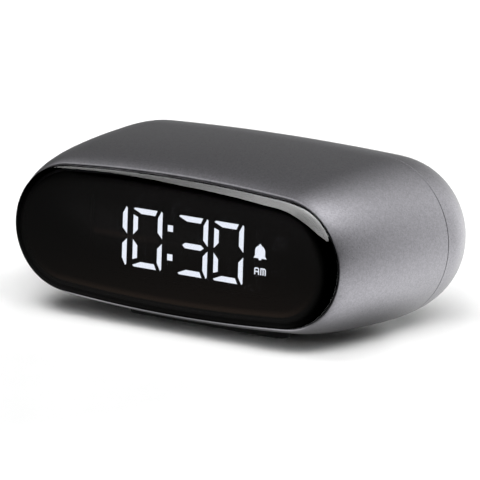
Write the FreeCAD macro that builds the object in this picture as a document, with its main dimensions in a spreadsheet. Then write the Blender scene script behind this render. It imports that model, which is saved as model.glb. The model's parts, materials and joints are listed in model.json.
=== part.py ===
import FreeCAD, Part
import math
import os
import re

import Sketcher
from FreeCAD import Placement, Rotation, Vector

# A palm-sized bedside alarm clock: a pebble-shaped case whose oval sections swell from the
# front rim, a black domed lens in front of a seven-segment display, and the controls and the
# charging socket on a dark panel in the back.
#
# Frame: millimetres, +Z up, -Y the way the display faces, +X to the right of a person who
# reads it.  The origin is on the table, under the middle of the clock.
# A "depth" is measured backwards from the front rim, a "rise" upwards from the long axis of
# the case, and a "height" upwards from the table.

SIZES = {
    # The case from outside.  The long axis runs along X, midway up every oval section.
    "body_half_width": 47.5,
    "body_half_height": 19.6,
    "body_depth": 49.8,
    "table_gap": 0.55,
    "rim_half_width": 42.8,
    "rim_half_height": 15.7,
    # The front shoulder is part of an ellipse: how far back the whole quarter ellipse would
    # reach, seen from above (side) and from the side (crown).
    "side_swell_reach": 35.2,
    "crown_swell_reach": 38.4,
    # The back edge is a quarter ellipse, seen from above and from the side.
    "side_round_depth": 11.2,
    "side_round_inset": 5.8,
    "crown_round_depth": 17.8,
    "crown_round_inset": 6.8,
    # Shells.
    "wall": 2.0,
    "back_wall": 3.4,
    "cover_depth": 13.2,
    "seam_gap": 0.16,
    "lip_depth": 1.6,
    "lip_clearance": 0.08,
    "lip_thickness": 0.9,
    # Lens.
    "lens_lip": 0.2,
    "lens_clearance": 0.05,
    "lens_inset": 0.4,
    "lens_crown": 2.6,
    "lens_edge": 4.4,
    "lens_tape": 0.15,
    "tape_width": 1.6,
    # Display frame and the inner ledge that it sits on.
    "frame_step": 2.2,
    "frame_gap": 0.15,
    "frame_clearance": 0.1,
    "ledge_depth": 3.2,
    "ledge_thickness": 2.0,
    "ledge_gap": 0.6,
    "frame_screw_gap": 0.9,
    # Display window, reflector block and board.
    "display_rise": 0.3,
    "window_margin": 1.45,
    "window_margin_rise": 1.82,
    "window_clearance": 0.1,
    "mask_depth": 1.5,
    "mask_thickness": 0.25,
    "guide_length": 2.0,
    "block_length": 4.25,
    "board_thickness": 1.2,
    "display_screw_x": 18.0,
    "board_edge": 1.6,
    "board_gap": 0.9,
    "boss_radius": 1.5,
    # Figures.
    "digit_width": 7.75,
    "digit_height": 13.1,
    "digit_stroke": 1.21,
    "digit_pitch": 9.37,
    "segment_gap": 0.53,
    "segment_point": 1.24,
    "bar_point": 2.15,
    "side_drop": 1.6,
    "colon_gap": 2.75,
    "colon_size": 1.4,
    "colon_spacing": 6.4,
    "colon_x": -1.65,
    "mark_x": 22.02,
    "bell_width": 3.4,
    "bell_height": 2.8,
    "bell_foot_rise": 0.22,
    "bell_knob_radius": 0.34,
    "bell_clapper_radius": 0.42,
    "letter_height": 1.56,
    "letter_stroke": 0.28,
    "letter_foot_rise": -3.4,
    "letter_gap": 0.3,
    "letter_bar_rise": 0.56,
    "letter_corner": 0.1,
    "mark_margin": 0.3,
    "light_size": 0.9,
    "light_thickness": 0.6,
    # Screws.
    "small_screw_radius": 0.7,
    "small_head_radius": 1.5,
    "small_head_thickness": 0.8,
    "small_hole_clearance": 0.1,
    "frame_screw_radius": 0.9,
    "frame_head_radius": 1.7,
    "frame_screw_bite": 1.7,
    "cover_screw_radius": 1.0,
    "cover_head_radius": 1.9,
    "cover_head_thickness": 1.3,
    "cover_screw_length": 17.6,
    "cover_screw_rise": 4.6,
    "cover_hole_clearance": 0.1,
    "column_radius": 2.6,
    "column_gap": 2.7,
    "slot_width": 0.4,
    # Back panel.
    "panel_margin": 3.6,
    "panel_margin_rise": 2.9,
    "panel_thickness": 1.2,
    "panel_sink": 0.5,
    "panel_tape": 0.15,
    "panel_clearance": 0.1,
    # Push buttons and their switches.
    "button_pitch": 9.0,
    "button_screw_gap": 6.0,
    "button_radius": 2.9,
    "button_edge": 0.35,
    "button_clearance": 0.15,
    "button_proud": 0.4,
    "button_flange_radius": 3.6,
    "button_flange": 0.8,
    "button_rest_gap": 0.05,
    "button_stem_radius": 1.5,
    "button_travel": 0.4,
    "plunger_radius": 1.4,
    "plunger_length": 1.6,
    "plunger_clearance": 0.08,
    "tact_size": 6.0,
    "tact_height": 2.0,
    # Alarm slider and its switch.
    "slider_x": 6.3,
    "slider_travel": 2.0,
    "slider_length": 3.4,
    "slider_height": 2.2,
    "slider_clearance": 0.15,
    "slider_flange_margin": 1.0,
    "slider_rib_width": 0.4,
    "slider_rib_depth": 0.25,
    "lever_size": 1.4,
    "lever_clearance": 0.1,
    "lever_reach": 1.4,
    "slide_switch_length": 8.0,
    "slide_switch_width": 3.6,
    "slide_switch_gap": 0.15,
    # Charging socket, of the usual reversible kind.
    "socket_x": -6.3,
    "socket_half_width": 4.47,
    "socket_half_height": 1.63,
    "socket_metal": 0.3,
    "socket_sink": 0.7,
    "socket_floor": 1.0,
    "socket_clearance": 0.15,
    "tongue_width": 6.7,
    "tongue_thickness": 0.7,
    "tongue_sink": 0.6,
    # Main board and what is on it.
    "main_board_gap": 4.0,
    "main_board_half_height": 11.0,
    "main_screw_x": 20.0,
    "main_screw_rise": 8.6,
    "main_screw_grip": 2.6,
    "chip_size": 7.0,
    "chip_thickness": 1.0,
    "chip_x": -4.0,
    "chip_rise": 0.5,
    "driver_x": 12.0,
    "driver_width": 9.0,
    "driver_height": 4.4,
    "crystal_radius": 0.95,
    "crystal_length": 6.0,
    "crystal_x": 3.5,
    "capacitor_length": 1.6,
    "capacitor_width": 0.8,
    "capacitor_pitch": 2.6,
    "capacitor_first_x": -24.0,
    "capacitor_rise": -3.0,
    "ribbon_x": -14.0,
    "ribbon_width": 10.0,
    "ribbon_thickness": 0.3,
    "ribbon_sag": 2.0,
    "ribbon_gap": 0.2,
    "ribbon_socket_width": 12.0,
    "ribbon_socket_height": 2.6,
    "ribbon_socket_thickness": 2.0,
    "lead_socket_x": 9.0,
    "lead_socket_width": 6.0,
    "lead_socket_height": 4.4,
    "lead_socket_length": 4.0,
    "lead_socket_rise": -5.5,
    # Battery and its tray.
    "tray_gap": 1.2,
    "tray_thickness": 1.2,
    "tray_side_gap": 4.3,
    "tray_front": 9.6,
    "tray_back_gap": 0.6,
    "tray_screw_edge": 2.3,
    "tray_screw_length": 4.5,
    "post_radius": 2.1,
    "battery_side_gap": 0.9,
    "battery_margin": 1.4,
    "battery_thickness": 5.0,
    "battery_edge": 1.6,
    "battery_tape": 0.3,
    # Loudspeaker, which faces down through the floor.
    "speaker_radius": 10.0,
    "speaker_seat_rise": 1.0,
    "speaker_gasket": 0.3,
    "speaker_seat_width": 1.2,
    "speaker_seat_rim": 1.0,
    "speaker_flange": 0.8,
    "speaker_basket_radius": 9.1,
    "speaker_height": 3.4,
    "speaker_metal": 0.6,
    "cone_thickness": 0.3,
    "cone_rise": 2.0,
    "cone_cap_radius": 2.6,
    "magnet_radius": 5.2,
    "magnet_thickness": 2.2,
    "grille_hole_radius": 0.6,
    "grille_pitch": 2.3,
    # Feet.
    "foot_half_length": 21.0,
    "foot_half_width": 2.6,
    "foot_front_depth": 14.0,
    "foot_sink": 1.2,
    "foot_seam_gap": 1.0,
    "foot_clearance": 0.05,
    "foot_floor": 1.2,
    "foot_edge": 0.2,
    # Touch pad under the crown, and the inner leads.
    "touch_depth": 20.0,
    "touch_half_length": 20.0,
    "touch_half_width": 9.0,
    "touch_foil": 0.2,
    "touch_lead_edge": 3.0,
    "lead_radius": 0.4,
    "lead_spacing": 1.6,
    "touch_lead_drop": 3.0,
    "touch_lead_rise": 9.0,
    "speaker_lead_x": -7.0,
    "speaker_lead_edge": 1.8,
    "lead_bend_run": 2.4,
}

# Degrees of the quarter ellipse that the front shoulder spans, from above and from the side.
TURNS = {
    "side_swell_turn": 74.2,
    "crown_swell_turn": 87.4,
}

# Shares of a size.  A roundness is the end radius of an oval as a share of its half height,
# the lens fullness makes its shoulder an ellipse at 1 and squarer below, the lean is how far a
# figure slants to the right for its height, and the slot share is how much of a screw head the
# slots span and cut through.
SHARES = {
    "rim_roundness": 0.927,
    "middle_roundness": 0.946,
    "back_roundness": 0.97,
    "lens_fullness": 0.56,
    "panel_roundness": 0.95,
    "socket_roundness": 0.95,
    "foot_roundness": 0.95,
    "digit_lean": 0.012,
    "slot_share": 0.7,
}

ALIASES = {**SIZES, **TURNS, **SHARES}

doc = FreeCAD.newDocument("BedsideAlarmClock")
sheet = doc.addObject("Spreadsheet::Sheet", "Sizes")
for row, (alias, number) in enumerate(ALIASES.items(), start=1):
    sheet.set(f"A{row}", alias.replace("_", " "))
    sheet.set(f"B{row}", str(number))
    sheet.setAlias(f"B{row}", alias)
doc.recompute()

nodes = []


# ---------------------------------------------------------------- depths and places that pieces share
AXIS_HEIGHT = "(body_half_height + table_gap)"
SEAM = "(body_depth - cover_depth)"
LENS_SEAT = "(lens_inset + lens_tape)"
FRAME_FRONT = f"({LENS_SEAT} + frame_gap)"
LEDGE_BACK = "(ledge_depth + ledge_thickness)"
MASK_BACK = "(mask_depth + mask_thickness)"
GUIDE_BACK = "(mask_depth + guide_length)"
DISPLAY_BOARD = f"({MASK_BACK} + block_length)"
DISPLAY_BOARD_BACK = f"({DISPLAY_BOARD} + board_thickness)"
COVER_FRONT = f"({SEAM} + seam_gap)"
BACK_INSIDE = "(body_depth - back_wall)"
PANEL_BACK = "(body_depth - panel_sink)"
PANEL_FRONT = f"({PANEL_BACK} - panel_thickness)"
RECESS_FLOOR = f"({PANEL_FRONT} - panel_tape)"
MAIN_BOARD_BACK = f"({BACK_INSIDE} - main_board_gap)"
MAIN_BOARD = f"({MAIN_BOARD_BACK} - board_thickness)"
COVER_HEAD_SEAT = f"({RECESS_FLOOR} - cover_head_thickness)"

# The display window holds the four figures at its left and the two marks at its right.
FIGURE_STEP = "(digit_pitch + colon_gap / 2)"
WINDOW_LEFT = f"(colon_x - {FIGURE_STEP} - digit_pitch / 2 - digit_width / 2 - window_margin)"
WINDOW_RIGHT = "(mark_x + bell_width / 2 + window_margin)"
DISPLAY_X = f"(({WINDOW_LEFT} + {WINDOW_RIGHT}) / 2)"
WINDOW_HALF_WIDTH = f"(({WINDOW_RIGHT} - {WINDOW_LEFT}) / 2)"
WINDOW_HALF_HEIGHT = "(digit_height / 2 + window_margin_rise)"
DISPLAY_SCREW_RISE = f"({WINDOW_HALF_HEIGHT} + boss_radius)"
DISPLAY_BOARD_HALF_HEIGHT = f"({DISPLAY_SCREW_RISE} + board_edge)"
LEDGE_HALF_WIDTH = f"({WINDOW_HALF_WIDTH} + ledge_gap)"
LEDGE_HALF_HEIGHT = f"({DISPLAY_SCREW_RISE} + boss_radius + ledge_gap)"

# The four long cover screws stand outside the window; the rest of the back follows them.
COVER_SCREW_X = f"({WINDOW_RIGHT} + column_gap + column_radius)"
BOARD_REACH = f"({COVER_SCREW_X} - column_radius - board_gap)"
FRAME_SCREW_RISE = "(cover_screw_rise + column_radius + frame_head_radius + frame_screw_gap)"
PANEL_HALF_WIDTH = f"({COVER_SCREW_X} + cover_head_radius + panel_margin)"
PANEL_HALF_HEIGHT = "(cover_screw_rise + cover_head_radius + panel_margin_rise)"
BUTTON_OUTER_X = f"({COVER_SCREW_X} - button_screw_gap)"
BUTTON_INNER_X = f"({BUTTON_OUTER_X} - button_pitch)"
RIBBON_RISE = "(main_screw_rise - small_head_radius - ribbon_gap - ribbon_socket_height / 2)"


# ---------------------------------------------------------------- formulas of sizes
def bound(formula):
    """The formula as an object's expression: each size gets the sheet's name in front."""
    return re.sub(r"\b[a-z]\w*", lambda word: f"Sizes.{word[0]}" if word[0] in ALIASES else word[0],
                  str(formula))


def value(formula):
    """The number that a formula gives."""
    return float(sheet.evalExpression(bound(formula)))


def ellipse(share):
    """How far a quarter ellipse of unit depth has fallen at this share of its run."""
    return f"(1 - sqrt(1 - ({share})^2))"


def shoulder(depth, swell, reach, turn):
    """How far the front shoulder is still inside the widest section."""
    share = f"max(0; 1 - ({depth}) / {reach}) * sin({turn})"
    return f"({swell}) * {ellipse(share)} / {ellipse(f'sin({turn})')}"


def rounding(depth, run, inset):
    """How far the back edge has turned in."""
    return f"{inset} * {ellipse(f'max(0; 1 - (body_depth - ({depth})) / {run})')}"


def half_width(depth):
    """Half the width of the case at a depth."""
    swell = shoulder(depth, "body_half_width - rim_half_width", "side_swell_reach", "side_swell_turn")
    return f"(body_half_width - {swell} - {rounding(depth, 'side_round_depth', 'side_round_inset')})"


def half_height(depth):
    """Half the height of the case at a depth."""
    swell = shoulder(depth, "body_half_height - rim_half_height", "crown_swell_reach",
                     "crown_swell_turn")
    return f"(body_half_height - {swell} - {rounding(depth, 'crown_round_depth', 'crown_round_inset')})"


def end_radius(depth):
    """Radius of the section's two ends at a depth."""
    share = f"(2 * ({depth}) / body_depth)"
    first = f"(middle_roundness - rim_roundness) * min(1; {share})"
    second = f"(back_roundness - middle_roundness) * max(0; {share} - 1)"
    return f"((rim_roundness + {first} + {second}) * {half_height(depth)})"


def at_depth(depth):
    """Y of a depth; the lens crown and the back face are equally far from the origin."""
    return f"((lens_crown - body_depth) / 2 + ({depth}))"


def at_rise(rise):
    """Z of a rise."""
    return f"({AXIS_HEIGHT} + ({rise}))"


def span(middle, size):
    """Low and high end of a length about its middle."""
    return f"(({middle}) - ({size}) / 2)", f"(({middle}) + ({size}) / 2)"


def depths(front, back):
    """Y of the two ends of a stretch of depth."""
    return at_depth(front), at_depth(back)


def over_rise(rise, size):
    """Z of the two ends of a height about a rise."""
    return span(at_rise(rise), size)


# ---------------------------------------------------------------- simple solids
def box(name, x_ends, y_ends, z_ends):
    """A block between two ends along each axis."""
    item = doc.addObject("Part::Box", name)
    for side, axis, (low, high) in zip(("Length", "Width", "Height"), "xyz", (x_ends, y_ends, z_ends)):
        item.setExpression(side, bound(f"({high}) - ({low})"))
        item.setExpression(f"Placement.Base.{axis}", bound(low))
    return item


def cylinder(name, turn, start, radius, length):
    """A cylinder from its start point; turn leads its axis away from +Z."""
    item = doc.addObject("Part::Cylinder", name)
    item.Placement = Placement(Vector(), turn)
    for axis, formula in zip("xyz", start):
        item.setExpression(f"Placement.Base.{axis}", bound(formula))
    item.setExpression("Radius", bound(radius))
    item.setExpression("Height", bound(length))
    return item


def rod(name, x, rise, radius, front, back):
    """A cylinder that runs backwards between two depths."""
    start = (x, at_depth(front), at_rise(rise))
    return cylinder(name, Rotation(Vector(1, 0, 0), -90), start, radius, f"({back}) - ({front})")


def post(name, x, depth, radius, low, high):
    """A cylinder that stands between two heights."""
    return cylinder(name, Rotation(), (x, at_depth(depth), low), radius, f"({high}) - ({low})")


def fuse(name, *pieces):
    """One solid out of several."""
    item = doc.addObject("Part::MultiFuse", name)
    item.Shapes = list(pieces)
    return item


def group(name, *pieces):
    """Identical pieces kept as separate solids of one node."""
    item = doc.addObject("Part::Compound", name)
    item.Links = list(pieces)
    return item


def cut(name, base, *tools):
    """The base without the tools."""
    item = doc.addObject("Part::Cut", name)
    item.Base = base
    item.Tool = tools[0] if len(tools) == 1 else fuse(f"{name}_openings", *tools)
    return item


def common(name, first, second):
    """What two solids share."""
    item = doc.addObject("Part::Common", name)
    item.Base = first
    item.Tool = second
    return item


def node(item):
    """Keep a finished piece: its label becomes the name of its file."""
    item.Label = item.Name
    nodes.append(item)
    return item


# ---------------------------------------------------------------- sketched solids
def new_sketch(body, role, offset):
    """An empty sketch on one of the body's own origin planes, moved by an offset."""
    sketch = body.newObject("Sketcher::SketchObject", f"{body.Name}_sketch")
    plane = next(item for item in body.Origin.OriginFeatures if item.Role == role)
    sketch.AttachmentSupport = [(plane, "")]
    sketch.MapMode = "FlatFace"
    for axis, formula in zip("xyz", offset):
        sketch.setExpression(f"AttachmentOffset.Base.{axis}", bound(formula))
    return sketch


def dimension(sketch, name, formula, kind, *where):
    """A driving dimension of a sketch, bound to a formula."""
    index = sketch.addConstraint(Sketcher.Constraint(kind, *where))
    sketch.renameConstraint(index, name)
    sketch.setExpression(f"Constraints.{name}", formula)


def draw_oval(sketch, wide, high, end):
    """A four-arc oval about the sketch's origin, from half width, half height and end radius."""
    a, b, r = value(wide), value(high), value(end)
    for name, formula, number in (("HalfWidth", wide, a), ("HalfHeight", high, b), ("EndRadius", end, r)):
        sketch.addProperty("App::PropertyFloat", name)
        setattr(sketch, name, number)
        sketch.setExpression(name, bound(formula))
    flat = ((a - r) ** 2 + b ** 2 - r ** 2) / (2 * (b - r))
    turn = math.atan2(flat - b, a - r)
    arcs = (((a - r, 0), r, -turn, turn),
            ((0, b - flat), flat, turn, math.pi - turn),
            ((r - a, 0), r, math.pi - turn, math.pi + turn),
            ((0, flat - b), flat, math.pi + turn, 2 * math.pi - turn))
    for centre, radius, start, end_angle in arcs:
        circle = Part.Circle(Vector(*centre, 0), Vector(0, 0, 1), radius)
        sketch.addGeometry(Part.ArcOfCircle(circle, start, end_angle), False)
    rules = [Sketcher.Constraint("Tangent", side, 2, (side + 1) % 4, 1) for side in range(4)]
    rules.append(Sketcher.Constraint("PointOnObject", 0, 3, -1))
    rules.append(Sketcher.Constraint("PointOnObject", 1, 3, -2))
    rules.append(Sketcher.Constraint("Equal", 1, 3))
    rules.append(Sketcher.Constraint("Symmetric", 0, 3, 2, 3, -1, 1))
    sketch.addConstraint(rules)
    dimension(sketch, "end_centre", ".HalfWidth - .EndRadius", "DistanceX", -1, 1, 0, 3, a - r)
    dimension(sketch, "end_radius", ".EndRadius", "Radius", 0, r)
    squares = "(.HalfWidth - .EndRadius)^2 + .HalfHeight^2 - .EndRadius^2"
    dimension(sketch, "flat_radius", f"({squares}) / (2 * (.HalfHeight - .EndRadius))", "Radius", 1, flat)


def draw_outline(sketch, points):
    """A closed outline of straight lines through points given as formulas."""
    corners = [Vector(value(across), value(along), 0) for across, along in points]
    lines = [Part.LineSegment(corner, corners[(index + 1) % len(corners)])
             for index, corner in enumerate(corners)]
    sketch.addGeometry(lines, False)
    for index, (across, along) in enumerate(points):
        following = (index + 1) % len(points)
        sketch.addConstraint(Sketcher.Constraint("Coincident", index, 2, following, 1))
        for kind, axis, formula, number in (("DistanceX", -2, across, corners[index].x),
                                            ("DistanceY", -1, along, corners[index].y)):
            if formula == "0":
                sketch.addConstraint(Sketcher.Constraint("PointOnObject", index, 1, axis))
            else:
                dimension(sketch, f"point{index}{kind[-1]}", bound(formula), kind, -1, 1, index, 1, number)


def lofted(name, stations):
    """A body through oval sections, each a depth, half width, half height and end radius."""
    body = doc.addObject("PartDesign::Body", name)
    sections = []
    for depth, wide, high, end in stations:
        sketch = new_sketch(body, "XZ_Plane", ("0", at_rise("0"), f"-{at_depth(depth)}"))
        draw_oval(sketch, wide, high, end)
        sections.append(sketch)
    loft = body.newObject("PartDesign::AdditiveLoft", f"{name}_loft")
    loft.Profile = sections[0]
    loft.Sections = sections[1:]
    return body


def oval_plate(name, x, rise, front, back, wide, high, end):
    """An oval plate that stands across the depth, between two depths."""
    body = doc.addObject("PartDesign::Body", name)
    sketch = new_sketch(body, "XZ_Plane", (x, at_rise(rise), f"-{at_depth(front)}"))
    draw_oval(sketch, wide, high, end)
    pad = body.newObject("PartDesign::Pad", f"{name}_pad")
    pad.Profile = sketch
    pad.Reversed = True
    pad.setExpression("Length", bound(f"({back}) - ({front})"))
    return body


def oval_slab(name, depth, low, high_end, wide, high, end):
    """An oval plate that lies flat, between two heights."""
    body = doc.addObject("PartDesign::Body", name)
    sketch = new_sketch(body, "XY_Plane", ("0", at_depth(depth), low))
    draw_oval(sketch, wide, high, end)
    pad = body.newObject("PartDesign::Pad", f"{name}_pad")
    pad.Profile = sketch
    pad.setExpression("Length", bound(f"({high_end}) - ({low})"))
    return body


def turned(name, role, offset, profile):
    """A body turned about the sketch's upright axis; the profile is radius and distance along."""
    body = doc.addObject("PartDesign::Body", name)
    sketch = new_sketch(body, role, offset)
    draw_outline(sketch, profile)
    turn = body.newObject("PartDesign::Revolution", f"{name}_turn")
    turn.Profile = sketch
    turn.ReferenceAxis = (sketch, ["V_Axis"])
    turn.Angle = 360
    return body


def turned_back(name, x, rise, front, profile):
    """A body turned about a line that runs backwards from a depth."""
    return turned(name, "XY_Plane", (x, at_depth(front), at_rise(rise)), profile)


def turned_up(name, x, depth, low, profile):
    """A body turned about an upright line from a height."""
    return turned(name, "XZ_Plane", (x, low, f"-{at_depth(depth)}"), profile)


def rounded(body, size, wanted):
    """Round those edges of a body whose middle passes a test."""
    doc.recompute()
    base = body.Tip
    chosen = [f"Edge{index}" for index, edge in enumerate(base.Shape.Edges, start=1)
              if wanted(edge.valueAt((edge.FirstParameter + edge.LastParameter) / 2))]
    fillet = body.newObject("PartDesign::Fillet", f"{body.Name}_rounding")
    fillet.Base = (base, chosen)
    fillet.setExpression("Radius", bound(size))
    return body


def screw(name, x, rise, seat, forward, head_radius, head_thickness, radius, length):
    """A screw whose head stands behind its seat (forward) or in front of it, with a cross slot."""
    if forward:
        head_ends = (seat, f"({seat}) + ({head_thickness})")
        shaft_ends = (f"({seat}) - ({length})", seat)
        slot_ends = (f"({seat}) + ({head_thickness}) * (1 - slot_share)", head_ends[1])
    else:
        head_ends = (f"({seat}) - ({head_thickness})", seat)
        shaft_ends = (seat, f"({seat}) + ({length})")
        slot_ends = (head_ends[0], f"({seat}) - ({head_thickness}) * (1 - slot_share)")
    head = rod(f"{name}_head", x, rise, head_radius, *head_ends)
    shaft = rod(f"{name}_shaft", x, rise, radius, *shaft_ends)
    reach = f"({head_radius}) * slot_share * 2"
    slots = [box(f"{name}_slot_{index}", span(x, wide), depths(*slot_ends), over_rise(rise, high))
             for index, (wide, high) in enumerate(((reach, "slot_width"), ("slot_width", reach)))]
    return cut(name, fuse(f"{name}_blank", head, shaft), *slots)


def four(x, rise):
    """The four corners of a rectangle about the middle of the case."""
    return [(f"{side}({x})", f"{up}({rise})") for side in ("-", "") for up in ("-", "")]


def shape_piece(name, shape):
    """A piece whose shape comes from its outline rather than from a sketch."""
    item = doc.addObject("Part::Feature", name)
    item.Shape = shape
    return item


# ---------------------------------------------------------------- what stands on the floor
FOOT_BACK_DEPTH = f"({SEAM} - foot_seam_gap - foot_half_width)"
FLOOR_FRONT_FOOT = f"({AXIS_HEIGHT} - {half_height('foot_front_depth')} + foot_sink)"
FLOOR_BACK_FOOT = f"({AXIS_HEIGHT} - {half_height(FOOT_BACK_DEPTH)} + foot_sink)"
SPEAKER_DEPTH = f"((foot_front_depth + {FOOT_BACK_DEPTH}) / 2)"
SPEAKER_SEAT = f"({FLOOR_FRONT_FOOT} + foot_floor + speaker_seat_rise)"
SPEAKER_TOP = f"({SPEAKER_SEAT} + speaker_gasket + speaker_height)"
TRAY_LOW = f"({SPEAKER_TOP} + magnet_thickness + tray_gap)"
TRAY_TOP = f"({TRAY_LOW} + tray_thickness)"
TRAY_BACK = f"({SEAM} - lip_depth - tray_back_gap)"
TRAY_HALF_WIDTH = f"({COVER_SCREW_X} - column_radius - tray_side_gap)"
TRAY_SCREW_X = f"({TRAY_HALF_WIDTH} - tray_screw_edge)"
TRAY_SCREW_FRONT = "(tray_front + tray_screw_edge)"
TRAY_SCREW_BACK = f"({TRAY_BACK} - tray_screw_edge)"
BATTERY_HALF_WIDTH = f"({TRAY_SCREW_X} - small_head_radius - battery_side_gap)"
BATTERY_FRONT = "(tray_front + battery_margin)"
BATTERY_BACK = f"({TRAY_BACK} - battery_margin)"
BATTERY_LOW = f"({TRAY_TOP} + battery_tape)"


# ---------------------------------------------------------------- case
def case_sections(first, last, shares, inset):
    """Oval sections between two depths, each moved inwards by an inset."""
    stations = []
    for share in shares:
        depth = f"(({first}) + (({last}) - ({first})) * {share:.6f})"
        stations.append((depth, f"{half_width(depth)} - ({inset})", f"{half_height(depth)} - ({inset})",
                         f"{end_radius(depth)} - ({inset})"))
    return stations


FRONT_STEPS = 9
BACK_STEPS = 9
INSIDE_STEPS = 5
swell_shares = [1 - math.cos(math.radians(90 * step / FRONT_STEPS)) for step in range(FRONT_STEPS + 1)]
round_shares = [math.sin(math.radians(90 * step / BACK_STEPS)) for step in range(BACK_STEPS + 1)]
even_shares = [step / INSIDE_STEPS for step in range(INSIDE_STEPS + 1)]


def rim_oval(inset):
    """Half width, half height and end radius of the front rim, moved inwards."""
    return (f"rim_half_width - ({inset})", f"rim_half_height - ({inset})",
            f"rim_roundness * rim_half_height - ({inset})")


def speaker_holes():
    """The sound holes: one in the middle and two rings around it."""
    holes = []
    for ring, count in enumerate((1, 6, 12)):
        for index in range(count):
            angle = 360 * index / count
            x = f"{ring} * grille_pitch * cos({angle:.1f})"
            depth = f"{SPEAKER_DEPTH} + {ring} * grille_pitch * sin({angle:.1f})"
            holes.append(post(f"sound_hole_{ring}_{index}", x, depth, "grille_hole_radius", "0",
                              SPEAKER_SEAT))
    return holes


TRAY_POSTS = [(f"{side}{TRAY_SCREW_X}", depth) for side in ("-", "")
              for depth in (TRAY_SCREW_FRONT, TRAY_SCREW_BACK)]
COVER_SCREWS = four(COVER_SCREW_X, "cover_screw_rise")
FRAME_SCREWS = four(COVER_SCREW_X, FRAME_SCREW_RISE)
MAIN_SCREWS = four("main_screw_x", "main_screw_rise")
DISPLAY_SCREWS = [(f"{DISPLAY_X} + {x}", f"display_rise + {rise}")
                  for x, rise in four("display_screw_x", DISPLAY_SCREW_RISE)]
FEET = (("front_foot", "foot_front_depth", FLOOR_FRONT_FOOT),
        ("rear_foot", FOOT_BACK_DEPTH, FLOOR_BACK_FOOT))


def foot_oval(margin):
    """Half length, half width and end radius of a foot with a margin around it."""
    return (f"foot_half_length + ({margin})", f"foot_half_width + ({margin})",
            f"foot_roundness * (foot_half_width + ({margin}))")


def main_housing():
    """The front shell: swelling wall, lens seat, ledge, floor fixtures and screw columns."""
    outside = lofted("housing_outside", case_sections("0", SEAM, swell_shares, "0"))
    hollow = lofted("housing_hollow", case_sections(LEDGE_BACK, SEAM, even_shares, "wall"))
    fixtures = [rod(f"housing_column_{index}", x, rise, "column_radius", LEDGE_BACK, SEAM)
                for index, (x, rise) in enumerate(COVER_SCREWS)]
    fixtures += [post(f"housing_post_{index}", x, depth, "post_radius", "0", TRAY_LOW)
                 for index, (x, depth) in enumerate(TRAY_POSTS)]
    fixtures += [oval_slab(f"{name}_floor", depth, "0", f"{top} + foot_floor", *foot_oval("foot_floor"))
                 for name, depth, top in FEET]
    fixtures.append(cut("speaker_ring",
                        post("speaker_ring_blank", "0", SPEAKER_DEPTH,
                             "speaker_radius + speaker_seat_rim", "0", SPEAKER_SEAT),
                        post("speaker_ring_bore", "0", SPEAKER_DEPTH,
                             "speaker_radius - speaker_seat_width", "0", SPEAKER_SEAT)))
    room = cut("housing_room", hollow, *fixtures)
    mid_wall = lofted("housing_rebate", case_sections(f"{SEAM} - lip_depth - seam_gap", SEAM,
                                                      even_shares, "wall - lip_thickness"))
    seat = oval_plate("lens_seat", "0", "0", "-lens_inset", LENS_SEAT, *rim_oval("lens_lip"))
    pocket = oval_plate("frame_pocket", "0", "0", "0", "ledge_depth", *rim_oval("frame_step"))
    opening = box("ledge_opening", span(DISPLAY_X, f"2 * {LEDGE_HALF_WIDTH}"),
                  depths("0", f"{LEDGE_BACK} + wall"),
                  over_rise("display_rise", f"2 * {LEDGE_HALF_HEIGHT}"))
    openings = [room, cut("rebate_room", mid_wall, *[rod(f"rebate_column_{index}", x, rise,
                                                         "column_radius", "0", SEAM)
                                                     for index, (x, rise) in enumerate(COVER_SCREWS)]),
                seat, pocket, opening]
    openings += [rod(f"column_bore_{index}", x, rise, "cover_screw_radius",
                     f"{COVER_HEAD_SEAT} - cover_screw_length - wall / 2", SEAM)
                 for index, (x, rise) in enumerate(COVER_SCREWS)]
    openings += [rod(f"ledge_bore_{index}", x, rise, "frame_screw_radius + small_hole_clearance",
                     "ledge_depth", LEDGE_BACK) for index, (x, rise) in enumerate(FRAME_SCREWS)]
    openings += [post(f"post_bore_{index}", x, depth, "small_screw_radius",
                      f"{TRAY_LOW} - tray_screw_length", TRAY_LOW)
                 for index, (x, depth) in enumerate(TRAY_POSTS)]
    openings += [oval_slab(f"{name}_recess", depth, "-wall", top, *foot_oval("foot_clearance"))
                 for name, depth, top in FEET]
    openings += speaker_holes()
    node(cut("main_housing", outside, *openings))


def feet():
    """Two rubber strips, each set into its recess and flat on the table."""
    for name, depth, top in FEET:
        body = oval_slab(name, depth, "0", top, *foot_oval("0"))
        rounded(body, "foot_edge", lambda middle: abs(middle.z) < 1e-6)
        node(body)


def button_places():
    """The four push buttons by name, from the left of a person behind the clock."""
    names = ("clock_button", "minus_button", "plus_button", "alarm_button")
    places = (BUTTON_OUTER_X, BUTTON_INNER_X, f"-{BUTTON_INNER_X}", f"-{BUTTON_OUTER_X}")
    return list(zip(names, places))


def slider_slot(name, front, back):
    """The room that the alarm slider passes through."""
    long = "slider_length + slider_travel + 2 * slider_clearance"
    return box(name, span("slider_x", long), depths(front, back),
               over_rise("0", "slider_height + 2 * slider_clearance"))


def control_openings(prefix, front, back):
    """The openings for the buttons, the slider and the socket through one layer of the back."""
    holes = [rod(f"{prefix}_{name}_hole", x, "0", "button_radius + button_clearance", front, back)
             for name, x in button_places()]
    holes.append(slider_slot(f"{prefix}_slider_slot", front, back))
    holes.append(oval_plate(f"{prefix}_socket_hole", "socket_x", "0", front, back,
                            "socket_half_width + socket_clearance",
                            "socket_half_height + socket_clearance",
                            "socket_roundness * (socket_half_height + socket_clearance)"))
    return holes


def panel_oval(margin):
    """Half width, half height and end radius of the back panel with a margin around it."""
    return (f"{PANEL_HALF_WIDTH} + ({margin})", f"{PANEL_HALF_HEIGHT} + ({margin})",
            f"panel_roundness * ({PANEL_HALF_HEIGHT} + ({margin}))")


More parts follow.
